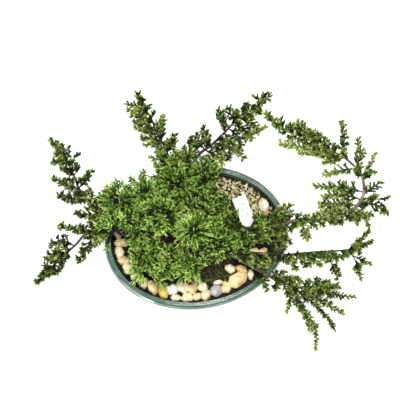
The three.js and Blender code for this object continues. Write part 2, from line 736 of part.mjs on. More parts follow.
function taper(points, from, to) {
  return points.map((_, i) => mix(from, to, i / (points.length - 1)));
}

function claimStem(points, radii, node, shoot = -1) {
  points.slice(1).forEach((point, i) => addRod(points[i], point, radii[i], radii[i + 1], node, shoot));
}

// Roots and directions of the shoots along a stem, by turns on its two sides.
function shootsAlong(line, from, lead, seed) {
  const path = pathThrough(line);
  const length = path.getLength();
  const count = Math.max(1, Math.round((length - from) / SHOOT_SPACING));
  const shoots = [];
  for (let i = 0; i < count; i++) {
    const share = (from + ((length - from) * (i + 0.35)) / count) / length;
    const along = path.getTangentAt(share);
    const side = new THREE.Vector3().crossVectors(along, UP).multiplyScalar(i % 2 ? 1 : -1);
    const rise = mix(-0.35, 0.75, scatter(seed * 50 + i));
    const turn = radians(SHOOT_SPREAD + mix(-8, 8, scatter(seed * 50 + i + 25)));
    const direction = side.normalize().addScaledVector(UP, rise).normalize().multiplyScalar(Math.sin(turn));
    direction.addScaledVector(along, Math.cos(turn));
    shoots.push({ root: path.getPointAt(share), direction, lead });
  }
  return shoots;
}

// Directions of a pad's shoots, spread over a dome by the golden angle, and their roots in the heart.
function shootsOfPad(centre, heart, seed) {
  const golden = Math.PI * (3 - Math.sqrt(5));
  return Array.from({ length: PAD_SHOOTS }, (_, i) => {
    const lean = radians(PAD_OPENING) * Math.sqrt((i + 0.5) / PAD_SHOOTS);
    const angle = i * golden + seed;
    const flat = Math.sin(lean);
    const direction = new THREE.Vector3(flat * Math.cos(angle), flat * Math.sin(angle), Math.cos(lean));
    const depth = heart / Math.hypot(flat, Math.cos(lean) / HEART_FLATNESS);
    const root = centre.clone().addScaledVector(direction, depth * HEART_SINK);
    return { root, direction, lead: depth * (1 - HEART_SINK) };
  });
}

function stalkDirection(route) {
  const curve = curveOf(route);
  return curve.getTangentAt(1 - PAD_STALK / curve.getLength());
}

function trunkAndLimbs() {
  const trunk = tube(TRUNK.map(vector), TRUNK.map((place) => place[3]), TRUNK_SIDES);
  const limbs = BRANCHES.map(({ route, radius, bare }) => {
    const points = stretch(route, 0, bare);
    const radii = taper(points, radius * 1.25, radius);
    const curve = curveOf(route);
    claimStem(points, radii, "trunk");
    return tube(points, radii, BRANCH_SIDES, { end: curve.getTangentAt((bare + SEAT) / curve.getLength()) });
  });
  const twigs = PADS.map(({ route }) => {
    const points = stretch(route, 0, curveOf(route).getLength() - PAD_STALK - SEAT);
    const radii = taper(points, PAD_RADIUS * 1.3, PAD_RADIUS);
    claimStem(points, radii, "trunk");
    return tube(points, radii, FORK_SIDES, { end: stalkDirection(route) });
  });
  claimStem(TRUNK.map(vector), TRUNK.map((place) => place[3]), "trunk");
  return join([trunk, ...limbs, ...twigs]);
}

// A stem along a route, bare up to the distance where its whorls begin. Its shoot number is below zero, so
// that its own shoots mind it.
function claimStalk(route, from, leafyFrom, radius, sides, node, shoot) {
  const curve = curveOf(route);
  const length = curve.getLength();
  const whorls = Math.max(1, Math.round((length - leafyFrom) / STALK_WHORL_STEP));
  const line = stretch(route, from, leafyFrom);
  const bare = line.length - 1;
  for (let whorl = 1; whorl <= whorls; whorl++) {
    line.push(curve.getPointAt(mix(leafyFrom, length, whorl / whorls) / length));
  }
  const radii = line.map((_, i) => mix(radius, SHOOT_RADIUS, i / (line.length - 1)));
  claimStem(line, radii, node, shoot);
  addRod(line.at(-1), budTip(line), SHOOT_RADIUS, 0, node, shoot);
  const cuts = { start: curve.getTangentAt(from / length) };
  return { line, radii, sides, bare, node, shoot, cuts };
}

// Stems and shoots of a long branch. Its own stem is bare with shoots by turns on its two sides and a leafy
// tip, and its forks are leafy all along. The needles are made once every node has its cores in place.
function planBranch({ name, route, radius, bare, forks }, index) {
  const leafyTip = curveOf(route).getLength() - LEAFY_TIP;
  const stalks = [claimStalk(route, bare + SEAT, leafyTip, radius, BRANCH_SIDES, name, -1)];
  const main = stalks[0].line;
  forks.forEach((fork, i) => {
    stalks.push(claimStalk(rootedFork(fork, main), 0, radius + 1, FORK_RADIUS, FORK_SIDES, name, -2 - i));
  });
  const shoots = shootsAlong(main, 6, radius, index * 10);
  const claims = shoots.map((shoot, i) => claimShoot(shoot, SHOOT_WHORLS, name, i));
  return { name, stems: [], claims: [...stalks, ...claims] };
}

function planPad({ route, heart }, index) {
  const name = `crown_pad_${String(index + 1).padStart(2, "0")}`;
  const curve = curveOf(route);
  const centre = vector(route.at(-1));
  const stalk = stretch(route, curve.getLength() - PAD_STALK);
  const knot = new THREE.IcosahedronGeometry(heart, 0).rotateZ(index).scale(1, 1, HEART_FLATNESS);
  knot.translate(...centre.toArray());
  addRod(centre, centre, heart, heart, name, null);
  claimStem(stalk, taper(stalk, PAD_RADIUS, PAD_RADIUS), name);
  const radii = taper(stalk, PAD_RADIUS, PAD_RADIUS);
  const stem = tube(stalk, radii, BRANCH_SIDES, { start: stalkDirection(route) });
  return { name, stems: [stem, knot], centre, heart, index };
}

function claimPad(plan) {
  const shoots = shootsOfPad(plan.centre, plan.heart, plan.index);
  return shoots.map((shoot, i) => claimShoot(shoot, PAD_WHORLS, plan.name, i));
}

function material(color, roughness) {
  return new THREE.MeshStandardMaterial({ color, roughness, metalness: 0 });
}

const plant = new THREE.Group();

function place(name, geometry, color, roughness) {
  const mesh = new THREE.Mesh(geometry, material(color, roughness));
  mesh.name = name;
  plant.add(mesh);
}

place("pot", pot(), 0x5e8474, 0.25);
place("drain_screen_left", drainScreen(-DRAIN_X), 0x2b2b2b, 0.7);
place("drain_screen_right", drainScreen(DRAIN_X), 0x2b2b2b, 0.7);
place("soil", soil(), 0x241c15, 0.95);
place("gravel_bed", gravelBed(), 0xc9b48c, 0.9);
place("plant_tag", tagPlate(TAG_THICKNESS), 0xf4f4f0, 0.45);
PEBBLES.forEach((values, index) => {
  const name = `pebble_${String(index + 1).padStart(2, "0")}`;
  place(name, pebble(values, index), values[6], 0.6);
});
place("trunk", trunkAndLimbs(), 0x6b5a50, 0.85);

const padPlans = PADS.map(planPad);
const branchPlans = BRANCHES.map(planBranch);
padPlans.forEach((plan) => {
  plan.claims = claimPad(plan);
});
[...branchPlans, ...padPlans].forEach(({ name, stems, claims }, index) => {
  const shoots = claims.filter((claim) => claim !== null).map(leafyTube);
  const color = BRANCHES[index]?.color ?? PAD_COLORS[index % PAD_COLORS.length];
  place(name, join([...stems, ...shoots]), color, 0.8);
});

// Centres the whole plant's extent over the origin.
const extent = new THREE.Box3().setFromObject(plant).getCenter(new THREE.Vector3());
plant.position.set(-extent.x, -extent.y, 0);

const bonsai = new THREE.Group();
bonsai.add(plant);

export default bonsai;
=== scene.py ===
"""Juniper bonsai in a green glazed oval pot, with river pebbles, gravel, moss and a blank plant tag.

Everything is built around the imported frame, in metres with +Z up. Places on the plant are written in
millimetres from the middle of the pot's foot, where the pot's maker and the grower would measure them.
"""

import json
import math
import random

import bmesh
import bpy
import numpy as np
from mathutils import Matrix, Vector, noise

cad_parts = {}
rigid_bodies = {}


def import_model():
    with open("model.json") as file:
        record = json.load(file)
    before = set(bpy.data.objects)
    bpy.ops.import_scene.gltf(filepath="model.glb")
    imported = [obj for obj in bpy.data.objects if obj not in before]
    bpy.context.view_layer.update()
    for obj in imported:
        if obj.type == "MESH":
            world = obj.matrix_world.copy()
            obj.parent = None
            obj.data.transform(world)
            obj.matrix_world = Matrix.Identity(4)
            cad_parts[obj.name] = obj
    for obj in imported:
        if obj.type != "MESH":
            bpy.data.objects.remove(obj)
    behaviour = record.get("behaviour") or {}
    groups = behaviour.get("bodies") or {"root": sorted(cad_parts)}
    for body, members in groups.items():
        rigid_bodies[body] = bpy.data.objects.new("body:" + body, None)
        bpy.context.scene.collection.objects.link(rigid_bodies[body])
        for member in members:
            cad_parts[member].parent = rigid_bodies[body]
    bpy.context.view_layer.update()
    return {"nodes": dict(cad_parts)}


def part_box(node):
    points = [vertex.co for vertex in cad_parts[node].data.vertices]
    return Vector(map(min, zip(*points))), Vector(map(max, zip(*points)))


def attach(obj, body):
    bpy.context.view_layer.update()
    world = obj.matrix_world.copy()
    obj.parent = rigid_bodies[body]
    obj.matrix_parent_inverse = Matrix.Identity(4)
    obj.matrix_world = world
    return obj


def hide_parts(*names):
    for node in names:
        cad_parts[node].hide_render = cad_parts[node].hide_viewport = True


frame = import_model()

MM = 0.001
UP = Vector((0, 0, 1))
GOLDEN = math.pi * (3 - math.sqrt(5))
SEAT = 0.3

# Kinds of node that come up often.
ATTRIBUTE = "ShaderNodeAttribute"
COMBINE = "ShaderNodeCombineXYZ"
COORDINATES = "ShaderNodeTexCoord"
MAP_RANGE = "ShaderNodeMapRange"
MATH = "ShaderNodeMath"
MIX = "ShaderNodeMix"
NOISE = "ShaderNodeTexNoise"
RAMP = "ShaderNodeValToRGB"
NAMED = "GeometryNodeInputNamedAttribute"
STORE = "GeometryNodeStoreNamedAttribute"
RANDOM = "FunctionNodeRandomValue"

# Camera: the photograph looks down on the plant from about a metre away. Its frame is 416 pixels wide.
PHOTO_PIXELS = 416
FOCAL_PIXELS = 1016.4
SENSOR_WIDTH = 36
CAMERA_AZIMUTH = -9.66
CAMERA_ELEVATION = 72.8
CAMERA_DISTANCE = 1150
CAMERA_AIM = (18.1, 29.5, 62)

# Stage: a wide sheet. A softbox has its place, its width and its power in watts.
FLOOR_REACH = 6000
SOFTBOX_AIM = (0, 0, 70)
SOFTBOXES = {
    "overhead_softbox": ((60, -130, 1500), 480, 21),
    "front_left_softbox": ((-1150, -800, 900), 900, 15),
    "back_right_softbox": ((1000, 900, 800), 700, 7),
    "low_left_softbox": ((-800, -900, 120), 240, 7),
}

# Pot: insets run inwards from the outer edge of its rim. A section goes by inset and height.
POT_LOW, POT_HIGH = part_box("pot")
POT_X = (POT_LOW.x + POT_HIGH.x) / 2
POT_Y = (POT_LOW.y + POT_HIGH.y) / 2
RIM_HALF_WIDTH = 104
RIM_HALF_DEPTH = 83
POT_HEIGHT = 62
RING_POINTS = 168
SECTION_STEP = 1.6
OUTSIDE = [(26, 6), (22, 7.5), (13.5, 25), (7.6, 41), (5.4, 50), (3.4, 53)]
INSIDE = [(7.2, 61.2), (7.5, 60), (8.2, 51), (24, 16), (34, 12)]
INNER_INSET = 8.2
FLOOR_TOP = 12
FLOOR_INSET = 24
BASE_TOP = 7
BARE_FROM = 7.3
SHARP_EDGE = 50
LIP_ROLL = 4.5
LIP_HEIGHT = 61.4
LIP_CROWN = 0.25
LIP_FROM = 2.4
LIP_TO = 6.6
LIP_GROOVES = 2
GROOVE_POINTS = 8
GROOVE_DEPTH = 0.35
# Painted shade on the glaze: a dark ring at this inset, at the foot of the roll, and a dark band under the
# lip at this height.
SHADE_RING_INSET = 2.3
UNDER_LIP_SHADE_HEIGHT = 53
DRAIN_X = 36
DRAIN_RADIUS = 6.5
DRAIN_POINTS = 32
DRAIN_CUT = (3, 20)
FOOT_ANGLES = (38, 142, 218, 322)
FOOT_INSET = 23
FOOT_WIDTH = 8
FOOT_POINTS = 12

# A foot's rings from the table up: the height, half the spread in degrees and the growth to either side.
FOOT_RINGS = ((0, 11.2, -0.6), (0.6, 11.5, 0), (5.6, 13, 0), (9, 14, 0.5))

# Ground in the pot.
SOIL_LEVEL = 51
SOIL_INSET = 0.5
SOIL_POINTS = 120
MOUND_HEIGHT = 7
MOUND_REACH = 0.62
GRAVEL_ARC = (14, 68)
GRAVEL_BAND = (0.64, 0.975)
MOSS_CENTRE = (15, -45)
MOSS_SIZE = (26, 20)
PEBBLE_GROWTH = 1.55
PEBBLE_TOUCH = 1.32
PEBBLE_WALL_GAP = 0.8
PEBBLE_EDGE = 16

# Plant tag: its foot, its turn and lean in degrees, and the bars in place of print, one to each step.
TAG_FOOT = (62.4, 0.5, SOIL_LEVEL)
TAG_TURN = 14
TAG_LEAN = 27
BAR_STEP = 3.4
BAR_START = 2.5
BAR_HALF_LENGTH = 5.2
BARS_FROM = 11
BARS_TO = 36
BAR_BREAK = 0.47

# Needles: short awls in whorls of three along each shoot, each brighter at its tip than at its root, partly
# their own colour and partly painted shade at the root and a painted highlight at the tip.
NEEDLE_SIDES = 3
ARM_NEEDLE = {"length": 2.5, "width": 1.7, "lean": 29}
CROWN_NEEDLE = {"length": 2.6, "width": 0.95, "lean": 20}
ARM_SHOOT = {"Step": 1.45 * MM, "Closing": 0.9, "Core radius": 0.75 * MM}
CROWN_SHOOT = {"Step": 1.55 * MM, "Closing": 0.55, "Core radius": 0.42 * MM}
WHORL_KINDS = 4
WHORL_TURN = 63
FLECK = 0.6
ROOT_SHADE = 0.7
LEAF_CLEARANCE = 3

# Seven long branches. A route runs from the limb's root in the trunk to the tip. Its first bare millimetres
# belong to the trunk. Barked are the stretches of its leafy part that show their bark, in millimetres, with
# the share of side plumes that they keep. A fork has the reach of its side shoots, its bare share and its
# route. Tip is the reach of the shoots at the end, where it isn't the usual one, and side the only one that
# bears short plumes.
BRANCHES = {
    "branch_left_upper": {
        "tone": 0.34, "radius": 2.3, "bare": 50, "barked": [(72, 112, 0.6)],
        "route": [
            (-19, 1, 84), (-40, 12, 90), (-64, 23, 94), (-90, 32, 94), (-106, 42, 91), (-120, 66, 86),
            (-125, 87, 82), (-132, 109, 78), (-140, 127, 75), (-148, 137, 73),
        ],
        "forks": [
            (7, 0, [(-121, 66, 86), (-137, 79, 83), (-151, 90, 80)]),
            (8, 0, [(-115, 53, 88), (-128, 57, 86), (-146, 67, 82)]),
            (8, 0, [(-98, 36, 92), (-115, 35, 88), (-129, 42, 84)]),
            (6, 0, [(-130, 102, 79), (-141, 107, 78), (-149, 105, 77)]),
            (3, 0.6, [(-132, 108, 78), (-127, 115, 79), (-127, 123, 80)]),
            (3, 0.5, [(-129, 101, 79), (-122, 108, 80), (-114, 113, 81)]),
            (3.5, 0.3, [(-125, 86, 82), (-120, 92, 83), (-120, 100, 84)]),
            (6.5, 0.1, [(-119, 69, 85), (-110, 79, 88), (-103, 87, 91)]),
            (8, 0, [(-102, 38, 92), (-96, 50, 94), (-92, 59, 95)]),
        ],
    },
    "branch_left_lower": {
        "tone": 0.32, "radius": 2.2, "bare": 50, "barked": [(56, 80, 0)],
        "route": [
            (-19, 0, 79), (-42, 9, 84), (-66, 14, 89), (-83, 19, 89), (-100, 20, 87), (-120, 17, 82),
            (-133, 9, 75), (-151, -1, 67), (-171, -13, 60), (-186, -25, 56),
        ],
        "forks": [
            (6.5, 0, [(-113, 19, 85), (-134, 25, 80), (-150, 32, 77)]),
            (8.5, 0, [(-110, 18, 85), (-120, 3, 79), (-135, -12, 74)]),
            (7.5, 0, [(-136, 9, 75), (-149, 16, 72), (-164, 14, 68)]),
            (6, 0, [(-146, 3, 70), (-158, 5, 68), (-171, -1, 65)]),
            (5, 0, [(-156, -3, 65), (-156, -12, 62), (-162, -18, 60)]),
            (6, 0, [(-97, 19, 87), (-106, 9, 84), (-113, 0, 81)]),
        ],
    },
    "branch_back_left": {
        "tone": 0.42, "radius": 1.9, "bare": 54, "barked": [(44, 99, 0.7)],
        "route": [
            (-21, 2, 90), (-19, 30, 96), (-18, 56, 99), (-18, 82, 97), (-20, 100, 96), (-26, 117, 94),
            (-29, 136, 92), (-35, 152, 90), (-40, 172, 88),
        ],
        "forks": [
            (6.5, 0, [(-32, 146, 91), (-44, 155, 89), (-56, 160, 88)]),
            (6.5, 0, [(-29, 132, 92), (-39, 138, 91), (-51, 144, 90)]),
            (6.5, 0, [(-26, 114, 94), (-37, 122, 93), (-50, 128, 91)]),
            (6, 0, [(-24, 105, 95), (-34, 111, 94), (-44, 113, 92)]),
            (5, 0.1, [(-26, 113, 94), (-18, 123, 96), (-16, 136, 98)]),
            (6.5, 0, [(-19, 96, 96), (-10, 100, 98), (-5, 110, 99)]),
            (6, 0, [(-30, 141, 91), (-41, 147, 90), (-54, 152, 89)]),
            (6, 0, [(-28, 123, 93), (-38, 130, 92), (-50, 136, 91)]),
            (6, 0, [(-22, 103, 95), (-32, 104, 95), (-42, 104, 94)]),
        ],
    },
    "branch_back_right": {
        "tone": 0.42, "radius": 2.3, "bare": 52, "barked": [(0, 62, 0.2), (62, 90, 0.5)],
        "route": [
            (-16, 1, 84), (-7, 26, 91), (-4, 50, 96), (14, 78, 101), (34, 90, 102), (54, 105, 102),
            (71, 119, 101), (89, 123, 100), (103, 141, 98),
        ],
        "forks": [
            (7, 0, [(54, 105, 102), (49, 116, 103), (46, 129, 103)]),
            (7, 0, [(63, 113, 102), (59, 122, 103), (59, 129, 103)]),
            (5, 0, [(73, 120, 101), (78, 127, 100), (82, 134, 99)]),
            (7, 0, [(31, 88, 102), (28, 100, 103), (26, 113, 104)]),
            (6.5, 0, [(24, 84, 102), (20, 94, 102), (17, 104, 103)]),
            (7, 0, [(19, 80, 101), (14, 90, 101), (9, 102, 101)]),
            (6.5, 0, [(10, 74, 100), (5, 84, 100), (1, 93, 100)]),
            (6.5, 0, [(4, 68, 98), (-2, 78, 99), (-8, 86, 100)]),
            (8, 0, [(29, 86, 102), (43, 83, 98), (50, 70, 94)]),
            (8, 0, [(24, 83, 101), (36, 77, 98), (43, 66, 95)]),
            (8, 0, [(36, 91, 102), (49, 86, 99), (58, 77, 95)]),
            (8, 0, [(42, 96, 102), (57, 89, 97), (65, 69, 92)]),
            (7, 0, [(54, 105, 102), (62, 96, 99), (65, 83, 97)]),
            (7, 0, [(17, 79, 101), (27, 71, 97), (33, 62, 94)]),
            (4, 0.35, [(49, 99, 102), (65, 92, 99), (83, 98, 97), (99, 103, 96)]),
            (4, 0.2, [(97, 132, 99), (105, 135, 99), (109, 141, 99)]),
            (4, 0.2, [(97, 132, 99), (93, 138, 98), (88, 141, 98)]),
            (7, 0, [(8, 70, 99), (20, 64, 96), (27, 54, 93)]),
            (8, 0, [(59, 109, 102), (71, 102, 100), (78, 88, 97)]),
            (7, 0, [(68, 116, 101), (80, 111, 99), (87, 102, 97)]),
        ],
    },
    "branch_right_curl": {
        "tone": 0.6, "radius": 2.8, "bare": 66, "barked": [(34, 55, 0.8), (116, 163, 0.2), (172, 186, 0.3)],
        "route": [
            (-12, -2, 75), (20, -5, 82), (50, -9, 87), (87, -11, 90), (105, -10, 91), (140, -15, 93),
            (170, -11, 96), (187, 5, 99), (189, 24, 102), (183, 37, 104), (172, 50, 106), (158, 60, 108),
            (145, 70, 110), (127, 81, 112), (111, 92, 113), (100, 105, 113), (95, 113, 112),
        ],
        "forks": [
            (9.5, 0, [(91, -12, 90), (100, -1, 93), (105, 10, 95)]),
            (8, 0, [(86, -11, 90), (92, -1, 93), (96, 7, 95)]),
            (5, 0, [(83, -11, 90), (92, -24, 88), (101, -33, 85)]),
            (7, 0, [(113, -11, 91), (117, -22, 89), (119, -33, 87)]),
            (5.5, 0, [(171, 51, 106), (178, 71, 110), (178, 89, 112)]),
            (6.5, 0, [(184, 34, 103), (192, 50, 107), (192, 67, 110)]),
            (3, 0.2, [(189, 25, 102), (200, 35, 105), (209, 48, 106)]),
            (3, 0.2, [(189, 23, 102), (199, 27, 103), (206, 27, 103)]),
            (7.5, 0, [(187, 5, 99), (199, 11, 101), (210, 16, 102)]),
            (4.5, 0.2, [(175, -8, 97), (188, -4, 99), (204, 2, 100)]),
            (8, 0.3, [(181, -6, 97), (196, -8, 98), (210, -20, 96)]),
            (1.5, 0.6, [(192, -5, 99), (206, -4, 100), (216, -2, 100)]),
            (6, 0.1, [(160, -12, 94), (177, -16, 93), (194, -17, 92)]),
            (4, 0.1, [(171, -12, 95), (175, -19, 93), (175, -28, 92)]),
            (4, 0.1, [(182, -15, 93), (185, -21, 92), (187, -29, 91)]),
            (8.5, 0, [(185, 34, 103), (167, 35, 102), (146, 33, 100)]),
            (9.5, 0, [(188, 8, 100), (163, 18, 99), (137, 23, 97)]),
            (8.5, 0, [(183, 0, 98), (164, 9, 98), (141, 11, 96)]),
            (9.5, 0, [(178, -5, 97), (158, 0, 96), (137, 2, 95)]),
            (7.5, 0, [(165, -11, 95), (149, -7, 95), (134, -7, 94)]),
            (8, 0, [(165, 55, 107), (149, 73, 110), (130, 96, 111)]),
            (7.5, 0, [(165, 55, 107), (142, 62, 108), (106, 76, 108)]),
            (6.5, 0, [(173, 49, 106), (153, 54, 106), (125, 63, 106)]),
            (4, 0.1, [(174, 48, 106), (161, 47, 104), (149, 47, 103)]),
            (5, 0, [(65, -10, 88), (70, -15, 88), (76, -20, 86)]),
            (7, 0, [(152, 66, 109), (139, 79, 111), (121, 92, 112)]),
        ],
    },
    "branch_right_middle": {
        "tone": 0.55, "tip": 3, "side": 1, "radius": 1.9, "bare": 58, "barked": [(8, 125, 0.75)],
        "route": [
            (-10, -4, 70), (20, -22, 79), (46, -33, 83), (72, -40, 84), (91, -44, 83), (112, -45, 81),
            (132, -46, 79), (155, -48, 77), (168, -46, 76), (189, -31, 79),
        ],
        "forks": [
            (7, 0, [(62, -38, 84), (67, -47, 86), (69, -54, 87)]),
            (6.5, 0, [(91, -44, 83), (98, -54, 81), (103, -63, 79)]),
            (6.5, 0, [(102, -45, 82), (111, -54, 80), (117, -61, 78)]),
            (6, 0, [(113, -45, 81), (122, -54, 79), (128, -62, 77)]),
            (5.5, 0, [(126, -46, 80), (133, -53, 78), (142, -58, 76)]),
            (5, 0.1, [(138, -46, 79), (146, -53, 77), (155, -56, 75)]),
            (6, 0.5, [(132, -47, 79), (140, -59, 77), (145, -76, 74)]),
            (3.5, 0.45, [(158, -48, 77), (168, -57, 75), (185, -69, 72)]),
            (5.5, 0.4, [(162, -48, 77), (168, -63, 74), (170, -84, 70)]),
            (4, 0.2, [(174, -43, 77), (182, -45, 76), (191, -42, 76)]),
            (6, 0, [(70, -40, 84), (79, -33, 87), (88, -28, 88)]),
            (5, 0, [(78, -41, 84), (86, -38, 86), (95, -36, 86)]),
        ],
    },
    "branch_right_lower": {
        "tone": 0.48, "radius": 2.4, "bare": 66, "barked": [(0, 36, 0)],
        "route": [
            (-9, -6, 66), (12, -21, 73), (34, -33, 78), (54, -50, 80), (68, -61, 78), (80, -71, 75),
            (95, -78, 70), (114, -80, 66), (133, -84, 62), (147, -83, 60),
        ],
        "forks": [
            (6, 0, [(59, -54, 79), (64, -66, 76), (66, -78, 72)]),
            (5, 0.1, [(100, -79, 69), (131, -90, 61), (162, -97, 54)]),
            (5, 0.1, [(102, -80, 68), (124, -97, 60), (148, -114, 51)]),
            (5, 0.1, [(94, -78, 70), (115, -99, 60), (129, -118, 52), (134, -130, 46)]),
            (5, 0.15, [(90, -76, 71), (101, -101, 60), (112, -123, 49), (109, -147, 42)]),
            (4.5, 0.3, [(94, -85, 66), (102, -106, 58), (107, -127, 50)]),
            (4.5, 0.1, [(88, -76, 72), (89, -91, 66), (83, -104, 60)]),
            (5, 0.1, [(84, -75, 74), (93, -71, 73), (105, -70, 71)]),
        ],
    },
}
# The range of the branches' age and shade mark: dark roots in painted shade, bright tips with a painted
# highlight.
BRANCH_AGE_AND_SHADE = (0.02, 0.86)
BRANCH_END = 22
END_PLUME = 30
END_REACH = 7
FORK_TONE = 0.16
FORK_RADIUS = 0.9
FORK_BARE = 0.12
SHORT_PLUME_STEP = 5
SHORT_PLUME_SPREAD = (42, 62)
LONG_PLUMES_END = 55
CREST_STEP = 2.2
CREST_SPREAD = (35, 70)
PALE_BRANCHES = ("branch_right_curl", "branch_right_lower")
FIRST_BRANCH_SEED = 30

# A plume's shoots: how far they stand off its axis in degrees, and from which length on some of them branch.
PLUME_START = 2.5
PLUME_SPREAD = (36, 58)
PLUME_FULLNESS = 1.2
SIDE_SHOOT_STEP = 2.2
SIDE_SHOOT_SPREAD = 0.28
BRANCHING_LENGTH = 4.6
BRANCHING_SHARE = 0.62
SHOOT_TONE = 0.18
LIFT = 0.16
AXIS_LIFT = 0.12

# Crown: pads of shoots. A route runs from a limb to the middle of the pad. Then come the size of its heart
# and its tone, which is partly the needles' own colour and partly painted light and shade on the pad.
PADS = [
    ([(-34, 9, 89), (-42, 26, 98), (-48, 38, 108), (-48, 40, 118)], 15, 0.62),
    ([(-52, 17, 92), (-64, 32, 95), (-74, 38, 100), (-77, 39, 110)], 14, 0.5),
    ([(-46, 10, 85), (-66, 4, 94), (-82, 5, 99), (-87, 8, 107)], 13, 0.4),
    ([(-19, 24, 95), (-17, 36, 104), (-15, 42, 110), (-15, 44, 119)], 15, 0.46),
    ([(-5, 36, 93), (6, 42, 99), (16, 46, 105), (19, 47, 114)], 15, 0.38),
    ([(4, -3, 79), (26, 10, 92), (36, 20, 101), (38, 22, 111)], 15, 0.36),
    ([(-19, 0, 91), (-11, -8, 106), (-6, -13, 119), (-4, -13, 130)], 15, 0.7),
    ([(-22, 2, 93), (-28, 5, 108), (-32, 8, 121), (-33, 9, 132)], 15, 0.6),
    ([(-40, 12, 90), (-52, 8, 102), (-60, 5, 111), (-62, 4, 121)], 15, 0.58),
    ([(-16, -2, 79), (-38, -14, 88), (-54, -23, 96), (-58, -25, 105)], 12, 0.5),
    ([(-15, -3, 73), (-38, -22, 77), (-58, -31, 81), (-66, -34, 85), (-67, -34, 93)], 8, 0.62),
    ([(-14, -3, 71), (-26, -22, 79), (-36, -33, 88), (-38, -36, 98)], 12, 0.68),
    ([(-12, -4, 67), (-12, -24, 76), (-12, -37, 84), (-12, -40, 94)], 15, 0.64),
    ([(-16, -1, 81), (2, -16, 94), (13, -24, 105), (16, -27, 115)], 15, 0.44),
    ([(22, -5, 82), (34, -6, 91), (41, -8, 98), (43, -9, 107)], 14, 0.34),
]
PAD_STALK = 11.5
PAD_RADIUS = 1.7
PAD_OPENING = 100
HEART_FLATNESS = 0.62
TOP_SPRIGS = 18
LOW_SPRIGS = 12
SPRIG_LENGTH = (8, 14)
SPRIG_SHOOTS = 8
SPRIG_SPREAD = 0.3
FAN_SPRIGS = 15
FAN_PAIRS = 4
FAN_SHARE = 0.3
LONG_SHOOT_PADS = (1, 7, 11)
ROSETTE_OPEN = 42
HANGING_PADS = (11,)
FINGERS = 7
FINGER_LENGTH = (13, 20)
FINGER_TONE = 0.5
OFFSHOOT_HEART = 10
OFFSHOOT_SPRIGS = 7
TWIG_SPRIG_STEP = 3.6
LEAFLESS_TWIG = 0.35

# Places between the pads that a pad's own offshoot fills, by the number of the pad.
OFFSHOOTS = {
    1: [(-52, 52, 112)],
    2: [(-82, 50, 101), (-66, 30, 108)],
    4: [(-1, 30, 112), (-14, 22, 116), (-21, 62, 110), (-20, 74, 106)],
    5: [(8, 44, 108), (-2, 66, 108)],
    6: [(14, 28, 108), (20, 12, 108), (43, 4, 105)],
    7: [(4, 8, 116)],
    9: [(-48, 20, 116), (-43, -4, 108)],
    12: [(-36, -50, 92), (-54, -44, 94)],
    13: [(-6, -52, 90)],
    14: [(32, -24, 101)],
    15: [(29, -11, 107), (54, -11, 97), (60, -22, 96)],
}

# Ground that no shoot hides from where the photograph was taken: ellipses on the soil, as the middle, the
# half width and depth and the turn of each.
OPEN_GROUND = [
    (58.8, 12, 7.2, 15, 12),
    (54, 38, 10, 12, 0),
    (74, 40, 26, 14, -42),
    (48, 54, 16, 11, -20),
    (-88, -2, 10, 30, 0),
    (-80, -30, 9, 14, 30),
    (-68, -42, 16, 12, -50),
    (-50, -58, 24, 7, -22),
    (0, -68, 44, 6.5, 0),
    (-24, -62, 34, 12, -4),
    (15, -46, 19, 13, 0),
    (38, -57, 15, 10, 0),
    (66, -27.5, 10, 5.5, 0),
    (-31, 2, 7, 5.5, 0),
]

# Trunk: places from its foot upwards, each with its radius, and the number of roots that flare out from it.
TRUNK = [
    (-11, -2, 38, 9), (-11, -2, 55, 9), (-11.5, -2, 63, 7.6), (-14, -1.5, 74, 6.8), (-18, 0, 85, 5.8),
    (-22, 2, 95, 4.4),
]
ROOTS = 6

# Pebbles in the order of their nodes: cream, tan, gold, white and one grey.
PEBBLE_COLOURS = (
    "#e8d5a6 #f5eac4 #e2cf9d #f0e2b8 #edd39e #f6eccc #f7f3e8 #f3e7c0 #ecd6a2 #e8cb6a #fdfcf7 #faf0d1 "
    "#f7eac0 #c9975e #f8ebc1 #f1dba4 #f0dbaa #f6e8c1 #f4e4b5 #bcbbb8 #faf1d3 #f5dba2 #f7dba1 #f5d591 "
    "#f4e8c4 #f9efcf #efdcab #f3db9f #f1ead0 #e0a86c"
).split()


def colour(code):
    """An sRGB hex value as the linear colour that a node holds."""
    parts = [int(code[i : i + 2], 16) / 255 for i in (1, 3, 5)]
    return (*[p / 12.92 if p <= 0.04045 else ((p + 0.055) / 1.055) ** 2.4 for p in parts], 1)


def placed(point):
    """A point in millimetres from the pot's foot, in the frame's metres."""
    return Vector((POT_X + point[0] * MM, POT_Y + point[1] * MM, point[2] * MM))


def output(part):
    """The first output that a node has in use. Anything else comes back as it is."""
    return next(out for out in part.outputs if out.enabled) if isinstance(part, bpy.types.Node) else part


def add(tree, kind, inputs=None, stops=(), **settings):
    """Adds a node with its settings, the stops of its ramp, and its inputs as values, sockets or nodes."""
    node = tree.nodes.new(kind)
    for name, value in settings.items():
        setattr(node, name, value)
    for number, (position, code) in enumerate(stops):
        elements = node.color_ramp.elements
        element = elements[number] if number < 2 else elements.new(position)
        element.position = position
        element.color = colour(code)
    for key, part in (inputs or {}).items():
        value = output(part)
        if isinstance(value, bpy.types.NodeSocket):
            tree.links.new(value, node.inputs[key])
        else:
            node.inputs[key].default_value = value
    return node


def new_material(name, **values):
    """A material and its tree. Its shader holds the values that are the same all over the surface."""
    material = bpy.data.materials.new(name)
    material.use_nodes = True
    for key, value in values.items():
        material.node_tree.nodes["Principled BSDF"].inputs[key.replace("_", " ")].default_value = value
    return material, material.node_tree


def surfaced(material, tint, relief=None, strength=0, depth=0):
    """Gives a material its colour and, where it has one, its relief, so many millimetres deep."""
    tree = material.node_tree
    shader = tree.nodes["Principled BSDF"]
    tree.links.new(output(tint), shader.inputs["Base Color"])
    if strength:
        bump = add(tree, "ShaderNodeBump", {"Height": relief, "Strength": strength, "Distance": depth * MM})
        tree.links.new(output(bump), shader.inputs["Normal"])
    return material


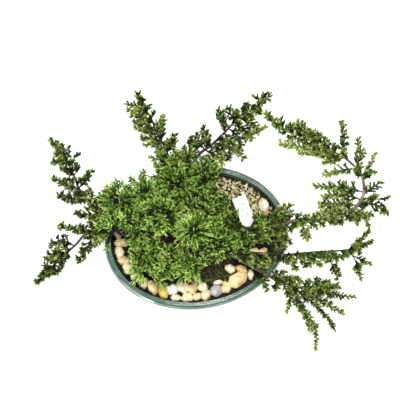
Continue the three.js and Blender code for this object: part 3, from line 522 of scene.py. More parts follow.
def grained(name, roughness, span, detail, stops, strength=0, depth=0):
    """A material whose colour and relief follow one grain, so many millimetres across."""
    material, tree = new_material(name, Roughness=roughness)
    place = add(tree, COORDINATES).outputs["Object"]
    grain = add(tree, NOISE, {"Vector": place, "Scale": 1 / (span * MM), "Detail": detail})
    return surfaced(material, add(tree, RAMP, {"Fac": grain}, stops=stops), grain, strength, depth)


def glaze():
    """Celadon glaze fired on stoneware: thick glossy green glass, dark where it pools in the grooves and pale
    on edges, with painted shade under the lip, on its outer edge and wall and in a ring at the foot of the
    roll.
    """
    material, tree = new_material(
        "celadon_glaze_on_stoneware", Roughness=0.16, IOR=1.52, Coat_Weight=0.6, Coat_Roughness=0.06,
    )
    place = add(tree, COORDINATES).outputs["Object"]
    cloud = add(tree, NOISE, {"Vector": place, "Scale": 1 / (14 * MM), "Detail": 4})
    speck = add(tree, NOISE, {"Vector": place, "Scale": 1 / (1.3 * MM), "Detail": 3})
    pooled = add(tree, ATTRIBUTE, attribute_name="glaze_depth").outputs["Fac"]
    body = add(tree, RAMP, {"Fac": cloud}, stops=[(0.3, "#51665a"), (0.7, "#7b9081"), (0.5, "#647a6d")])
    # The pooled mark darkens the glaze: real pooling in the lip's grooves, and painted shade everywhere else
    # it is set.
    depth = add(tree, RAMP, {"Fac": pooled}, stops=[(0, "#ffffff"), (1, "#3d5a50"), (0.5, "#a9c0b4")])
    deep = add(tree, MIX, {"Factor": 1.0, 6: body, 7: depth}, data_type="RGBA", blend_type="MULTIPLY")
    dust = add(tree, MAP_RANGE, {"Value": speck, "From Min": 0.6, "From Max": 0.72, "To Max": 0.35})
    specked = add(tree, MIX, {"Factor": dust, 6: deep, 7: colour("#2b4a3e")}, data_type="RGBA")
    return surfaced(material, specked, cloud, 0.12, 0.4)


def mixed_bits(name, roughness, stops, grain):
    """Loose bits whose tint goes by the random tone of each, with a fine grain of their own."""
    material, tree = new_material(name, Roughness=roughness)
    place = add(tree, COORDINATES).outputs["Object"]
    tone = add(tree, ATTRIBUTE, attribute_name="tone").outputs["Fac"]
    fleck = add(tree, NOISE, {"Vector": place, "Scale": 1 / (grain * MM), "Detail": 5})
    share = add(tree, MATH, {0: fleck, 1: 0.5, 2: tone}, operation="MULTIPLY_ADD")
    centred = add(tree, MATH, {0: share, 1: 0.25}, operation="SUBTRACT")
    return surfaced(material, add(tree, RAMP, {"Fac": centred}, stops=stops), fleck, 0.4, 0.2)


def river_stone():
    """Water-worn quartz and flint: smooth and satin, mottled, with darker iron stains and a fine grain."""
    material, tree = new_material("water_worn_river_stone", Roughness=0.42)
    place = add(tree, COORDINATES).outputs["Object"]
    own = add(tree, ATTRIBUTE, attribute_name="stone_colour")
    stain = add(tree, NOISE, {"Vector": place, "Scale": 1 / (7 * MM), "Detail": 5, "Distortion": 0.6})
    grain = add(tree, NOISE, {"Vector": place, "Scale": 1 / (2.6 * MM), "Detail": 5})
    share = add(tree, MAP_RANGE, {"Value": stain, "From Min": 0.45, "From Max": 0.75, "To Max": 0.45})
    stained = add(
        tree, MIX, {"Factor": share, 6: own, 7: colour("#d9b878")}, data_type="RGBA", blend_type="MULTIPLY",
    )
    shade = add(
        tree, MAP_RANGE, {"Value": grain, "From Min": 0.36, "From Max": 0.6, "To Min": 0.68, "To Max": 1.04},
    )
    body = add(tree, "ShaderNodeVectorMath", {0: stained, 1: shade}, operation="MULTIPLY")
    return surfaced(material, body, grain, 0.15, 0.3)


def tag_plastic():
    """White polystyrene sheet, satin, with plain grey-blue bars where a label would have its print."""
    material, tree = new_material("white_polystyrene_sheet", Roughness=0.38)
    flat = add(
        tree, "ShaderNodeMapping",
        {
            "Vector": add(tree, COORDINATES).outputs["Object"], "Location": placed(TAG_FOOT),
            "Rotation": (0, 0, math.radians(TAG_TURN)),
        },
        vector_type="TEXTURE",
    )
    parts = add(tree, "ShaderNodeSeparateXYZ", {0: flat}).outputs
    height = add(tree, MATH, {0: parts["Y"], 1: 1 / math.cos(math.radians(TAG_LEAN))}, operation="MULTIPLY")
    across = add(tree, MATH, {0: parts["X"]}, operation="ABSOLUTE")
    lines = add(tree, MATH, {0: height, 1: BAR_STEP * MM}, operation="PINGPONG")
    breaks = add(tree, NOISE, {"Vector": flat, "Scale": 1 / (3 * MM), "Detail": 1})
    ink = add(tree, MATH, {0: lines, 1: BAR_START * MM}, operation="GREATER_THAN")
    limits = (
        (across, "LESS_THAN", BAR_HALF_LENGTH * MM), (height, "GREATER_THAN", BARS_FROM * MM),
        (height, "LESS_THAN", BARS_TO * MM), (breaks, "GREATER_THAN", BAR_BREAK),
    )
    for value, side, limit in limits:
        within = add(tree, MATH, {0: value, 1: limit}, operation=side)
        ink = add(tree, MATH, {0: ink, 1: within}, operation="MULTIPLY")
    faded = add(tree, MATH, {0: ink, 1: 0.6}, operation="MULTIPLY")
    tint = add(tree, MIX, {"Factor": faded, 6: colour("#fcfcfa"), 7: colour("#8b99a6")}, data_type="RGBA")
    return surfaced(material, tint)


def juniper_bark(name, dark_until, stops):
    """Juniper bark in thin fibrous strips along the stem, dark as far as a distance in millimetres."""
    material, tree = new_material(name, Roughness=0.85)
    place = add(tree, COORDINATES).outputs["Object"]
    along = add(tree, ATTRIBUTE, attribute_name="bark_along").outputs["Fac"]
    around = add(tree, ATTRIBUTE, attribute_name="bark_around").outputs["Fac"]
    strips = add(tree, COMBINE, {"X": around, "Y": along})
    stretched = add(tree, "ShaderNodeMapping", {"Vector": strips, "Scale": (9, 90, 1)})
    fibre = add(tree, NOISE, {"Vector": stretched, "Scale": 1, "Detail": 6})
    cloud = add(tree, NOISE, {"Vector": place, "Scale": 1 / (9 * MM), "Detail": 4})
    both = add(tree, MATH, {0: fibre, 1: cloud}, operation="ADD")
    half = add(tree, MATH, {0: both, 1: 0.5}, operation="MULTIPLY")
    tint = add(tree, RAMP, {"Fac": half}, stops=stops)
    # Darker towards each stem's root, as far as dark_until millimetres along it.
    dark = {"From Min": 0.4 * dark_until * MM, "From Max": dark_until * MM, "To Min": 0.25}
    dark_near_root = add(tree, MAP_RANGE, {"Value": along, **dark})
    darkened_near_root = add(tree, MIX, {"Factor": dark_near_root, 6: colour(stops[0][1]), 7: tint}, data_type="RGBA")
    return surfaced(material, darkened_near_root, fibre, 0.7, 0.6)


def juniper_needles(name, stops):
    """Juniper's awl leaves with a thin wax: old ones deep green near the wood, young ones yellow-green; the
    darkest roots are painted shade and the palest tips a painted highlight.
    """
    material, tree = new_material(name, Roughness=0.45, Specular_IOR_Level=0.12)
    marks = ("age_and_shade", "tone", "along")
    age_and_shade, tone, along = (add(tree, ATTRIBUTE, attribute_name=mark).outputs["Fac"] for mark in marks)
    # Darker towards each shoot's root and each needle's root, brighter at the tips: partly the needles' own
    # colour, partly painted shade and a painted highlight.
    reach = add(tree, MATH, {0: along, 1: ROOT_SHADE, 2: age_and_shade}, operation="MULTIPLY_ADD")
    shifted = add(tree, MATH, {0: tone, 1: 0.5, 2: reach}, operation="MULTIPLY_ADD")
    share = add(tree, MATH, {0: shifted, 1: 1 / 1.9}, operation="MULTIPLY")
    return surfaced(material, add(tree, RAMP, {"Fac": share}, stops=stops))


def keep(piece, slot, *nodes):
    """Every piece rides on the one body and stands for its nodes, which it hides; its slot is not used."""
    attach(piece, "root")
    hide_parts(*nodes)


def new_object(name, data, shown=True):
    thing = bpy.data.objects.new(name, data)
    if shown:
        bpy.context.scene.collection.objects.link(thing)
    return thing


def plain_mesh(thing):
    """The mesh that an object has after its modifiers."""
    depsgraph = bpy.context.evaluated_depsgraph_get()
    return bpy.data.meshes.new_from_object(thing.evaluated_get(depsgraph), depsgraph=depsgraph)


def grown(name, mesh, tree, values):
    """Runs a tree on a mesh and keeps the result as a plain mesh in a new object."""
    carrier = new_object(name + "_base", mesh)
    modifier = carrier.modifiers.new("rule", "NODES")
    modifier.node_group = tree
    for item in tree.interface.items_tree:
        if item.in_out == "INPUT" and item.name in values:
            modifier[item.identifier] = values[item.name]
    result = plain_mesh(carrier)
    result.name = name
    bpy.data.objects.remove(carrier)
    bpy.data.meshes.remove(mesh)
    return new_object(name, result)


def hold(mesh, **values):
    """Keeps float values on a mesh's points."""
    for key, numbers in values.items():
        mesh.attributes.new(key, "FLOAT", "POINT").data.foreach_set("value", numbers)


def mesh_of(name, points, faces=(), edges=(), **values):
    """A mesh in metres from points in millimetres from the pot's foot, with float values on them."""
    mesh = bpy.data.meshes.new(name)
    mesh.from_pydata([placed(point) for point in points], list(edges), list(faces))
    hold(mesh, **values)
    return mesh


def lines_mesh(name, lines, keys):
    """Open lines as one mesh. A line has its points and, for each key, a value for each point."""
    points, edges, values = [], [], {key: [] for key in keys}
    for line in lines:
        first = len(points)
        points.extend(line["points"])
        edges.extend((i, i + 1) for i in range(first, len(points) - 1))
        for key in keys:
            values[key].extend(line[key])
    return mesh_of(name, points, edges=edges, **values)


def new_tree(name, **inputs):
    """A Geometry Nodes tree with a geometry in and out and the named inputs, and its first node's outputs."""
    tree = bpy.data.node_groups.new(name, "GeometryNodeTree")
    tree.is_modifier = True
    tree.interface.new_socket(name="Geometry", in_out="OUTPUT", socket_type="NodeSocketGeometry")
    for key, kind in {"Geometry": "Geometry", **inputs}.items():
        tree.interface.new_socket(name=key.replace("_", " "), in_out="INPUT", socket_type="NodeSocket" + kind)
    return tree, add(tree, "NodeGroupInput").outputs


def end_tree(tree, geometry, finish):
    """Ends a tree with its geometry made real, in one finish."""
    whole = add(tree, "GeometryNodeRealizeInstances", {0: geometry})
    finished = add(tree, "GeometryNodeSetMaterial", {"Geometry": whole, "Material": finish})
    add(tree, "NodeGroupOutput", {0: finished})
    return tree


def roughened(tree, geometry, span, detail, *shares):
    """Pushes a surface in and out by a noise, so many metres across, times each share. Shades it smooth."""
    place = add(tree, "GeometryNodeInputPosition")
    pace = add(tree, MATH, {0: 1.0, 1: span}, operation="DIVIDE")
    rough = add(tree, NOISE, {"Vector": place, "Scale": pace, "Detail": detail})
    height = add(tree, MATH, {0: rough, 1: 0.5}, operation="SUBTRACT")
    for share in shares:
        height = add(tree, MATH, {0: height, 1: share}, operation="MULTIPLY")
    normal = add(tree, "GeometryNodeInputNormal")
    offset = add(tree, "ShaderNodeVectorMath", {0: normal, "Scale": height}, operation="SCALE")
    pushed = add(tree, "GeometryNodeSetPosition", {"Geometry": geometry, "Offset": offset})
    return add(tree, "GeometryNodeSetShadeSmooth", {"Geometry": pushed})


def bits_on(tree, points, bits, last_kind, seed, rotation, scale):
    """Puts one of a collection's bits on each point, picked at random."""
    apart = {"Separate Children": True, "Reset Children": True}
    kinds = add(tree, "GeometryNodeCollectionInfo", {"Collection": bits, **apart})
    pick = add(tree, RANDOM, {4: 0, 5: last_kind, "Seed": seed}, data_type="INT")
    picked = {"Instance": kinds, "Pick Instance": True, "Instance Index": pick}
    laid = {"Points": points, "Rotation": rotation, "Scale": scale}
    return add(tree, "GeometryNodeInstanceOnPoints", {**picked, **laid})


def woody_stem_tree():
    """Round stems with bark relief along lines whose points hold their girth."""
    tree, given = new_tree(
        "Woody stems", Step="Float", Sides="Int", Relief="Float", Grain="Float", Bark="Material",
    )
    curve = add(tree, "GeometryNodeMeshToCurve", {0: given["Geometry"]})
    even = add(tree, "GeometryNodeResampleCurve", {"Curve": curve, "Length": given["Step"]}, mode="LENGTH")
    spline = add(tree, "GeometryNodeSplineParameter").outputs
    measured = add(tree, STORE, {"Geometry": even, "Name": "bark_along", "Value": spline["Length"]})
    circle = add(tree, "GeometryNodeCurvePrimitiveCircle", {"Resolution": given["Sides"], "Radius": 1.0})
    turned = add(tree, STORE, {"Geometry": circle, "Name": "bark_around", "Value": spline["Factor"]})
    girth = add(tree, NAMED, {"Name": "girth"})
    stem = add(
        tree, "GeometryNodeCurveToMesh",
        {"Curve": measured, "Profile Curve": turned, "Scale": girth, "Fill Caps": True},
    )
    return end_tree(tree, roughened(tree, stem, given["Grain"], 3.0, given["Relief"], girth), given["Bark"])


def needle_tree():
    """Whorls of needles at an even step along each shoot, each turned from the last and closed at the tip."""
    tree, given = new_tree(
        "Juniper shoots", Whorls="Collection", Step="Float", Closing="Float", Core_radius="Float", Seed="Int",
        Needles="Material",
    )
    seed = given["Seed"]
    curve = add(tree, "GeometryNodeMeshToCurve", {0: given["Geometry"]})
    even = add(tree, "GeometryNodeResampleCurve", {"Curve": curve, "Length": given["Step"]}, mode="LENGTH")
    index = add(tree, "GeometryNodeInputIndex")
    half = add(tree, MATH, {0: index, 1: 0.5}, operation="MULTIPLY")
    pair = add(tree, MATH, {0: half}, operation="FLOOR")
    fleck = add(tree, RANDOM, {2: -FLECK, 3: FLECK, "ID": pair, "Seed": seed})
    flecked = add(tree, MATH, {0: add(tree, NAMED, {"Name": "tone"}), 1: fleck}, operation="ADD")
    toned = add(tree, STORE, {"Geometry": even, "Name": "tone", "Value": flecked})
    tangent = add(tree, "GeometryNodeInputTangent")
    along = add(tree, "FunctionNodeAlignRotationToVector", {"Vector": tangent}, axis="Z")
    stray = add(tree, RANDOM, {2: -0.35, 3: 0.35, "Seed": seed})
    turn = add(tree, MATH, {0: index, 1: math.radians(WHORL_TURN), 2: stray}, operation="MULTIPLY_ADD")
    spin = add(tree, "FunctionNodeAxisAngleToRotation", {"Axis": (0, 0, 1), "Angle": turn})
    rotation = add(tree, "FunctionNodeRotateRotation", {0: along, 1: spin}, rotation_space="LOCAL")
    spread = add(tree, RANDOM, {2: 0.85, 3: 1.15, "Seed": seed})
    size = add(tree, MATH, {0: add(tree, NAMED, {"Name": "vigour"}), 1: spread}, operation="MULTIPLY")
    factor = add(tree, "GeometryNodeSplineParameter").outputs["Factor"]
    ends = {"From Min": 0.6, "From Max": 1.0, "To Min": 1.0, "To Max": given["Closing"]}
    closing = add(tree, MAP_RANGE, {"Value": factor, **ends})
    width = add(tree, MATH, {0: size, 1: closing}, operation="MULTIPLY")
    scale = add(tree, COMBINE, {"X": width, "Y": width, "Z": size})
    whorls = bits_on(tree, toned, given["Whorls"], WHORL_KINDS - 1, seed, rotation, scale)
    circle = add(tree, "GeometryNodeCurvePrimitiveCircle", {"Resolution": 3, "Radius": given["Core radius"]})
    core = add(tree, "GeometryNodeCurveToMesh", {"Curve": curve, "Profile Curve": circle, "Fill Caps": True})
    joined = add(tree, "GeometryNodeJoinGeometry", {0: whorls})
    tree.links.new(output(core), joined.inputs[0])
    return end_tree(tree, joined, given["Needles"])


def loose_bit_tree():
    """Bits scattered over a surface, each turned any way and of its own size and tone."""
    tree, given = new_tree(
        "Loose bits", Bits="Collection", Last_kind="Int", Density="Float", Smallest="Float", Largest="Float",
        Upright="Float", Seed="Int", Finish="Material",
    )
    seed = given["Seed"]
    points = add(
        tree, "GeometryNodeDistributePointsOnFaces",
        {"Mesh": given["Geometry"], "Density": given["Density"], "Seed": seed},
    )
    tone = add(tree, RANDOM, {2: 0.0, 3: 1.0, "Seed": seed})
    toned = add(tree, STORE, {"Geometry": points, "Name": "tone", "Value": tone})
    tilt = add(tree, MATH, {0: 1.0, 1: given["Upright"]}, operation="SUBTRACT")
    ends = []
    for angle in (-math.pi, math.pi):
        swing = add(tree, MATH, {0: tilt, 1: angle}, operation="MULTIPLY")
        ends.append(add(tree, COMBINE, {"X": swing, "Y": swing, "Z": angle}))
    angles = add(tree, RANDOM, {0: ends[0], 1: ends[1], "Seed": seed}, data_type="FLOAT_VECTOR")
    rotation = add(tree, "FunctionNodeEulerToRotation", {0: angles})
    size = add(tree, RANDOM, {2: given["Smallest"], 3: given["Largest"], "Seed": seed})
    bits = bits_on(tree, toned, given["Bits"], given["Last kind"], seed, rotation, size)
    return end_tree(tree, bits, given["Finish"])


def pebble_tree():
    """A coarse stone worn round: subdivided, then given shallow hollows and bulges."""
    tree, given = new_tree(
        "Worn stone", Rounds="Int", Keenness="Float", Hollow="Float", Span="Float", Stone="Material",
    )
    worn = add(
        tree, "GeometryNodeSubdivisionSurface",
        {"Mesh": given["Geometry"], "Level": given["Rounds"], "Edge Crease": given["Keenness"]},
    )
    return end_tree(tree, roughened(tree, worn, given["Span"], 2.0, given["Hollow"]), given["Stone"])


def kinds_of(name, count, shape, **form):
    """A collection with a few kinds of one bit. A rule shapes each from its form."""
    collection = bpy.data.collections.new(name)
    rng = random.Random(name)
    for kind in range(count):
        mesh = bpy.data.meshes.new(f"{name}_{kind}")
        shape(mesh, rng, kind, **form)
        collection.objects.link(new_object(f"{name}_{kind}", mesh, shown=False))
    return collection


def fill(mesh, points, faces, **values):
    """Fills a mesh from points in millimetres with their values, and turns its faces outwards."""
    mesh.from_pydata([point * MM for point in points], [], faces)
    hold(mesh, **values)
    shape = bmesh.new()
    shape.from_mesh(mesh)
    bmesh.ops.recalc_face_normals(shape, faces=shape.faces)
    shape.to_mesh(mesh)
    shape.free()


def spokes(angle):
    """The level directions outwards and sideways at an angle round the upright."""
    return Vector((math.cos(angle), math.sin(angle), 0)), Vector((-math.sin(angle), math.cos(angle), 0))


def whorl(mesh, rng, _, length, width, lean):
    """A whorl: three awls that lean out from the shoot, marked from root to tip."""
    points, faces, along = [], [], []
    for needle in range(3):
        out, side = spokes(needle * math.tau / 3 + rng.uniform(-0.25, 0.25))
        tilt = math.radians(lean * rng.uniform(0.7, 1.35))
        axis = out * math.sin(tilt) + UP * math.cos(tilt)
        over = axis.cross(side)
        base = out * width * 0.35
        corners = [len(points) + corner for corner in range(NEEDLE_SIDES)]
        tip = len(points) + NEEDLE_SIDES
        for corner in range(NEEDLE_SIDES):
            swing = corner * math.tau / NEEDLE_SIDES
            points.append(base + side * width / 2 * math.cos(swing) + over * width * 0.4 * math.sin(swing))
        points.append(base + axis * length * rng.uniform(0.85, 1.15))
        along.extend([0] * NEEDLE_SIDES + [1])
        faces.extend([corners, *([a, b, tip] for a, b in zip(corners, corners[1:] + corners[:1]))])
    fill(mesh, points, faces, along=along)


def tuft(mesh, rng, _, blades, height):
    """A moss tuft: a few pointed leaves that lean out from one foot."""
    points, faces = [], []
    for blade in range(blades):
        out, side = spokes(blade * GOLDEN + rng.uniform(-0.3, 0.3))
        tilt = math.radians(rng.uniform(10, 55))
        tip = (out * math.sin(tilt) + UP * math.cos(tilt)) * height * rng.uniform(0.7, 1.1)
        first = len(points)
        points.extend([side * 0.22, -side * 0.22, out * 0.3 - UP * 0.1, tip])
        for corners in ((0, 1, 3), (1, 2, 3), (2, 0, 3), (0, 2, 1)):
            faces.append([first + corner for corner in corners])
    fill(mesh, points, faces)


def crumb(mesh, _, kind, rough, wide, high):
    """A loose bit one millimetre long: a rough ball pressed narrower and flatter."""
    ball = bmesh.new()
    bmesh.ops.create_icosphere(ball, subdivisions=1, radius=0.5)
    seed = Vector((kind * 3.7 + 1.3, kind * 1.9, 7.1))
    for vertex in ball.verts:
        swell = 1 + rough * noise.noise(vertex.co * 2.2 + seed)
        vertex.co = Vector((vertex.co.x, vertex.co.y * wide, vertex.co.z * high)) * swell
    ball.to_mesh(mesh)
    ball.free()
    mesh.transform(Matrix.Scale(MM, 4))


def smooth_route(route, step=1.5):
    """Points about evenly spaced on the curve through a route's places, as numpy rows."""
    places = [np.array(place, float) for place in route]
    places = [2 * places[0] - places[1], *places, 2 * places[-1] - places[-2]]
    rows = []
    for before, start, end, after in zip(places, places[1:], places[2:], places[3:]):
        for t in np.linspace(0, 1, 24, endpoint=False):
            enter, leave = (end - before) / 2, (after - start) / 2
            rows.append(
                (2 * t**3 - 3 * t**2 + 1) * start + (t**3 - 2 * t**2 + t) * enter
                + (3 * t**2 - 2 * t**3) * end + (t**3 - t**2) * leave
            )
    rows = np.array([*rows, places[-2]])
    length = lengths(rows)
    return at_distances(rows, np.linspace(0, length[-1], max(2, round(length[-1] / step) + 1)))


def lengths(line):
    return np.concatenate([[0], np.cumsum(np.linalg.norm(np.diff(line, axis=0), axis=1))])


def at_distances(line, distances):
    """The places of a line at distances along it, as rows."""
    length = lengths(line)
    return np.column_stack([np.interp(distances, length, line[:, axis]) for axis in range(3)])


def stretch(line, start, end=None):
    """The part of a line between two distances along it."""
    length = lengths(line)
    end = length[-1] if end is None else end
    inner = length[(length > start + 0.2) & (length < end - 0.2)]
    return at_distances(line, np.concatenate([[start], inner, [end]]))


def at_distance(line, distance):
    """The place and the direction of a line at a distance along it."""
    place, ahead = (Vector(row.tolist()) for row in at_distances(line, (distance - 0.5, distance + 0.5)))
    return (place + ahead) / 2, (ahead - place).normalized()


def above_ground(point):
    """True where a leaf is above the rim and what lies inside it, and above the table elsewhere."""
    half_width, half_depth = RIM_HALF_WIDTH + LEAF_CLEARANCE, RIM_HALF_DEPTH + LEAF_CLEARANCE
    over_pot = math.hypot(point[0] / half_width, point[1] / half_depth) < 1
    return point[2] > LEAF_CLEARANCE + POT_HEIGHT * over_pot


def over_open_ground(point):
    """True where a shoot would hide one of the open places from the photograph's camera."""
    eye = Vector(CAMERA_AIM) + camera_back() * CAMERA_DISTANCE
    point = Vector(point)
    ground = eye + (point - eye) * ((SOIL_LEVEL + 4 - eye.z) / (point.z - eye.z))
    for x, y, half_width, half_depth, turn in OPEN_GROUND:
        off = Matrix.Rotation(-math.radians(turn), 2) @ Vector((ground.x - x, ground.y - y))
        if (off.x / half_width) ** 2 + (off.y / half_depth) ** 2 < 1:
            return True
    return False


def camera_back():
    """The direction from the camera's aim to the camera."""
    a, e = math.radians(CAMERA_AZIMUTH), math.radians(CAMERA_ELEVATION)
    return Vector((math.sin(a) * math.cos(e), -math.cos(a) * math.cos(e), math.sin(e)))


def leaned(axis, across, degrees):
    """A direction that leans from an axis towards one square to it."""
    spread = math.radians(degrees)
    return (axis * math.cos(spread) + across * math.sin(spread)).normalized()


def beside(along, side, degrees, rise):
    """A direction off a stem, to one side of it and raised by a share."""
    across = along.cross(UP)
    across = (across.normalized() if across.length > 0.1 else Vector((1, 0, 0))) * side
    return leaned(along, (across + UP * rise).normalized(), degrees)


def bow(root, direction, length, lift, steps=3):
    """A short shoot's line, which bends from its first direction towards the light."""
    shares = [step / steps for step in range(steps + 1)]
    return [root + direction * length * s + UP * length * lift * s * s for s in shares]


def round_axis(axis, angle):
    """A direction square to an axis, at an angle round it."""
    return Matrix.Rotation(angle, 3, axis) @ axis.orthogonal().normalized()


class Growth:
    """The woody and the leafy lines of one node, in millimetres from the pot's foot."""

    def __init__(self, seed, tone=0.5, ages_and_shade=(0, 1)):
        self.rng = random.Random(seed)
        self.tone = tone
        self.ages_and_shade = ages_and_shade
        self.hanging = False
        self.twigs = []
        self.shoots = []

    def twig(self, line, thick, thin):
        """A woody line and how its radius goes from root to tip."""
        girth = [MM * value for value in np.linspace(thick, thin, len(line))]
        self.twigs.append({"points": line, "girth": girth})

    def shoot(self, line, age_and_shade, vigour=1.0, tone=None):
        """A leafy line. Its age and shade mark runs from its root to its tip, from 0 for old wood, dark with
        painted shade, to 1 for this year's growth, bright with a painted highlight.
        """
        hides = any(over_open_ground(place) for place in (line[-1], line[len(line) // 2]))
        if not above_ground(line[-1]) or hides and not self.hanging:
            return
        tone = (self.tone if tone is None else tone) + self.rng.gauss(0, SHOOT_TONE)
        count = len(line)
        ages_and_shade = list(np.interp(np.linspace(*age_and_shade, count), (0, 1), self.ages_and_shade))
        self.shoots.append({"points": line, "age_and_shade": ages_and_shade, "tone": [tone] * count, "vigour": [vigour] * count})

    def plume(self, line, reach, age_and_shade, vigour=1.0):
        """Shoots on both sides of an axis, shorter towards its tip, the longer ones branched."""
        rng = self.rng
        total = lengths(line)[-1]
        distance = PLUME_START
        while distance < total - 1.5:
            share = distance / total
            # Shoots further along the plume get brighter tips: partly younger growth, partly painted light.
            tip_age_and_shade = age_and_shade[0] + (age_and_shade[1] - age_and_shade[0]) * (0.5 + 0.5 * share)
            for side in (-1, 1):
                place, along = at_distance(line, min(total - 1, distance + side * rng.uniform(0.4, 1.4)))
                direction = beside(along, side, rng.uniform(*PLUME_SPREAD), rng.uniform(-0.5, 0.8))
                length = reach * (1 - 0.5 * share) * rng.uniform(0.65, 1.2)
                shoot = bow(place, direction, length, LIFT)
                self.shoot(shoot, (age_and_shade[0], tip_age_and_shade), vigour)
                for turn, start in ((-1, shoot[1]), (1, shoot[2])):
                    if length > BRANCHING_LENGTH and rng.random() < BRANCHING_SHARE:
                        off = beside(direction, turn, 50, rng.uniform(-0.3, 0.8))
                        small = bow(start, off, rng.uniform(2.4, 3.8), AXIS_LIFT, steps=2)
                        self.shoot(small, (age_and_shade[0] + 0.15, tip_age_and_shade), vigour)
            distance += (SIDE_SHOOT_STEP + reach * SIDE_SHOOT_SPREAD) * rng.uniform(0.75, 1.25)

    def dome(self, centre, heart, count, reach, tone, grow, least_lean=0):
        """Sprigs over a flattened dome, by the golden angle, each on a short twig and with a least lean."""
        rng = self.rng
        turn = rng.uniform(0, math.tau)
        for number in range(count):
            share = math.sqrt((number + 0.5) / count)
            lean = math.radians(least_lean + (PAD_OPENING - least_lean) * share) + rng.gauss(0, 0.14)
            azimuth = number * GOLDEN + turn + rng.gauss(0, 0.2)
            level = math.sin(lean)
            out = Vector((level * math.cos(azimuth), level * math.sin(azimuth), math.cos(lean)))
            depth = reach * heart / math.hypot(level, math.cos(lean) / HEART_FLATNESS)
            start = centre + out * depth * 0.1 - UP * 1.5
            knee = centre + out * depth * rng.uniform(0.8, 1.25) + UP * rng.uniform(-1.5, 2.5)
            if over_open_ground(knee) and not self.hanging:
                continue
            self.twig([start, (start + knee) / 2 + UP * 0.6, knee], 0.8, 0.45)
            grow(start, knee, tone + rng.uniform(-SPRIG_SPREAD, SPRIG_SPREAD))

    def sprig(self, start, knee, tone):
        """A blunt little sprig: a leafy axis with short shoots all round it, like coral."""
        rng = self.rng
        stray = Vector([rng.gauss(0, 0.28) for _ in range(3)])
        direction = ((knee - start).normalized() + stray).normalized()
        root = start.lerp(knee, 0.75)
        length = rng.uniform(*SPRIG_LENGTH)
        self.shoot(bow(root, direction, length, AXIS_LIFT, steps=5), (0, 0.95), tone=tone)
        for number in range(SPRIG_SHOOTS):
            share = 0.2 + 0.72 * number / (SPRIG_SHOOTS - 1)
            place = root + direction * length * share + UP * length * AXIS_LIFT * share * share
            off = leaned(direction, round_axis(direction, number * GOLDEN + tone * 9), rng.uniform(34, 60))
            small = bow(place, off, rng.uniform(3.4, 7) * (1.15 - 0.35 * share), LIFT, steps=2)
            self.shoot(small, (0.2 * share, rng.uniform(0.65, 1)), tone=tone)

    def mixed_sprig(self, start, knee, tone):
        grow = self.fan if self.rng.random() < FAN_SHARE else self.sprig
        grow(start, knee, tone)

    def fan(self, start, knee, tone):
        """A sprig of slim finger-like shoots that fan out from a twig."""
        rng = self.rng
        axis = (knee - start).normalized()
        across = round_axis(axis, rng.uniform(0, math.tau))
        self.shoot(bow(start.lerp(knee, 0.75), axis, rng.uniform(11, 16), AXIS_LIFT), (0, 1), 0.8, tone)
        for pair in range(FAN_PAIRS):
            share = (pair + 0.5) / FAN_PAIRS
            for side in (-1, 1):
                degrees = rng.uniform(28, 64) - 14 * share
                direction = leaned(axis, Matrix.Rotation(rng.gauss(0, 0.6), 3, axis) @ across * side, degrees)
                finger = bow(start.lerp(knee, 0.35 + 0.75 * share), direction, rng.uniform(8, 14), 0.13)
                self.shoot(finger, (0, rng.uniform(0.75, 1)), 0.8, tone)

    def fingers(self, centre):
        """Long slim shoots that hang out towards the pot's edge at the front left."""
        rng = self.rng
        self.hanging = True
        for number in range(FINGERS):
            heading = math.radians(190 + 84 * (number + 0.5) / FINGERS + rng.uniform(-6, 6))
            root = centre + Vector((rng.uniform(-3, 5), rng.uniform(-5, 3), rng.uniform(-4, 1)))
            direction = Vector((math.cos(heading), math.sin(heading), rng.uniform(-0.45, 0.05))).normalized()
            finger = bow(root, direction, rng.uniform(*FINGER_LENGTH), -AXIS_LIFT, steps=6)
            self.shoot(finger, (0, 1), 0.9, FINGER_TONE)
            for start in finger[2:5]:
                for side in (-1, 1):
                    off = beside(direction, side, rng.uniform(18, 34), 0.3)
                    small = bow(start, off, rng.uniform(4, 7), 0.05, steps=2)
                    self.shoot(small, (0.2, 1), 0.85, FINGER_TONE)
        self.hanging = False


def nearest_place(line, point):
    """The distance along a line of its nearest place to a point."""
    gaps = np.linalg.norm(line - np.array(point, float), axis=1)
    return lengths(line)[int(gaps.argmin())]


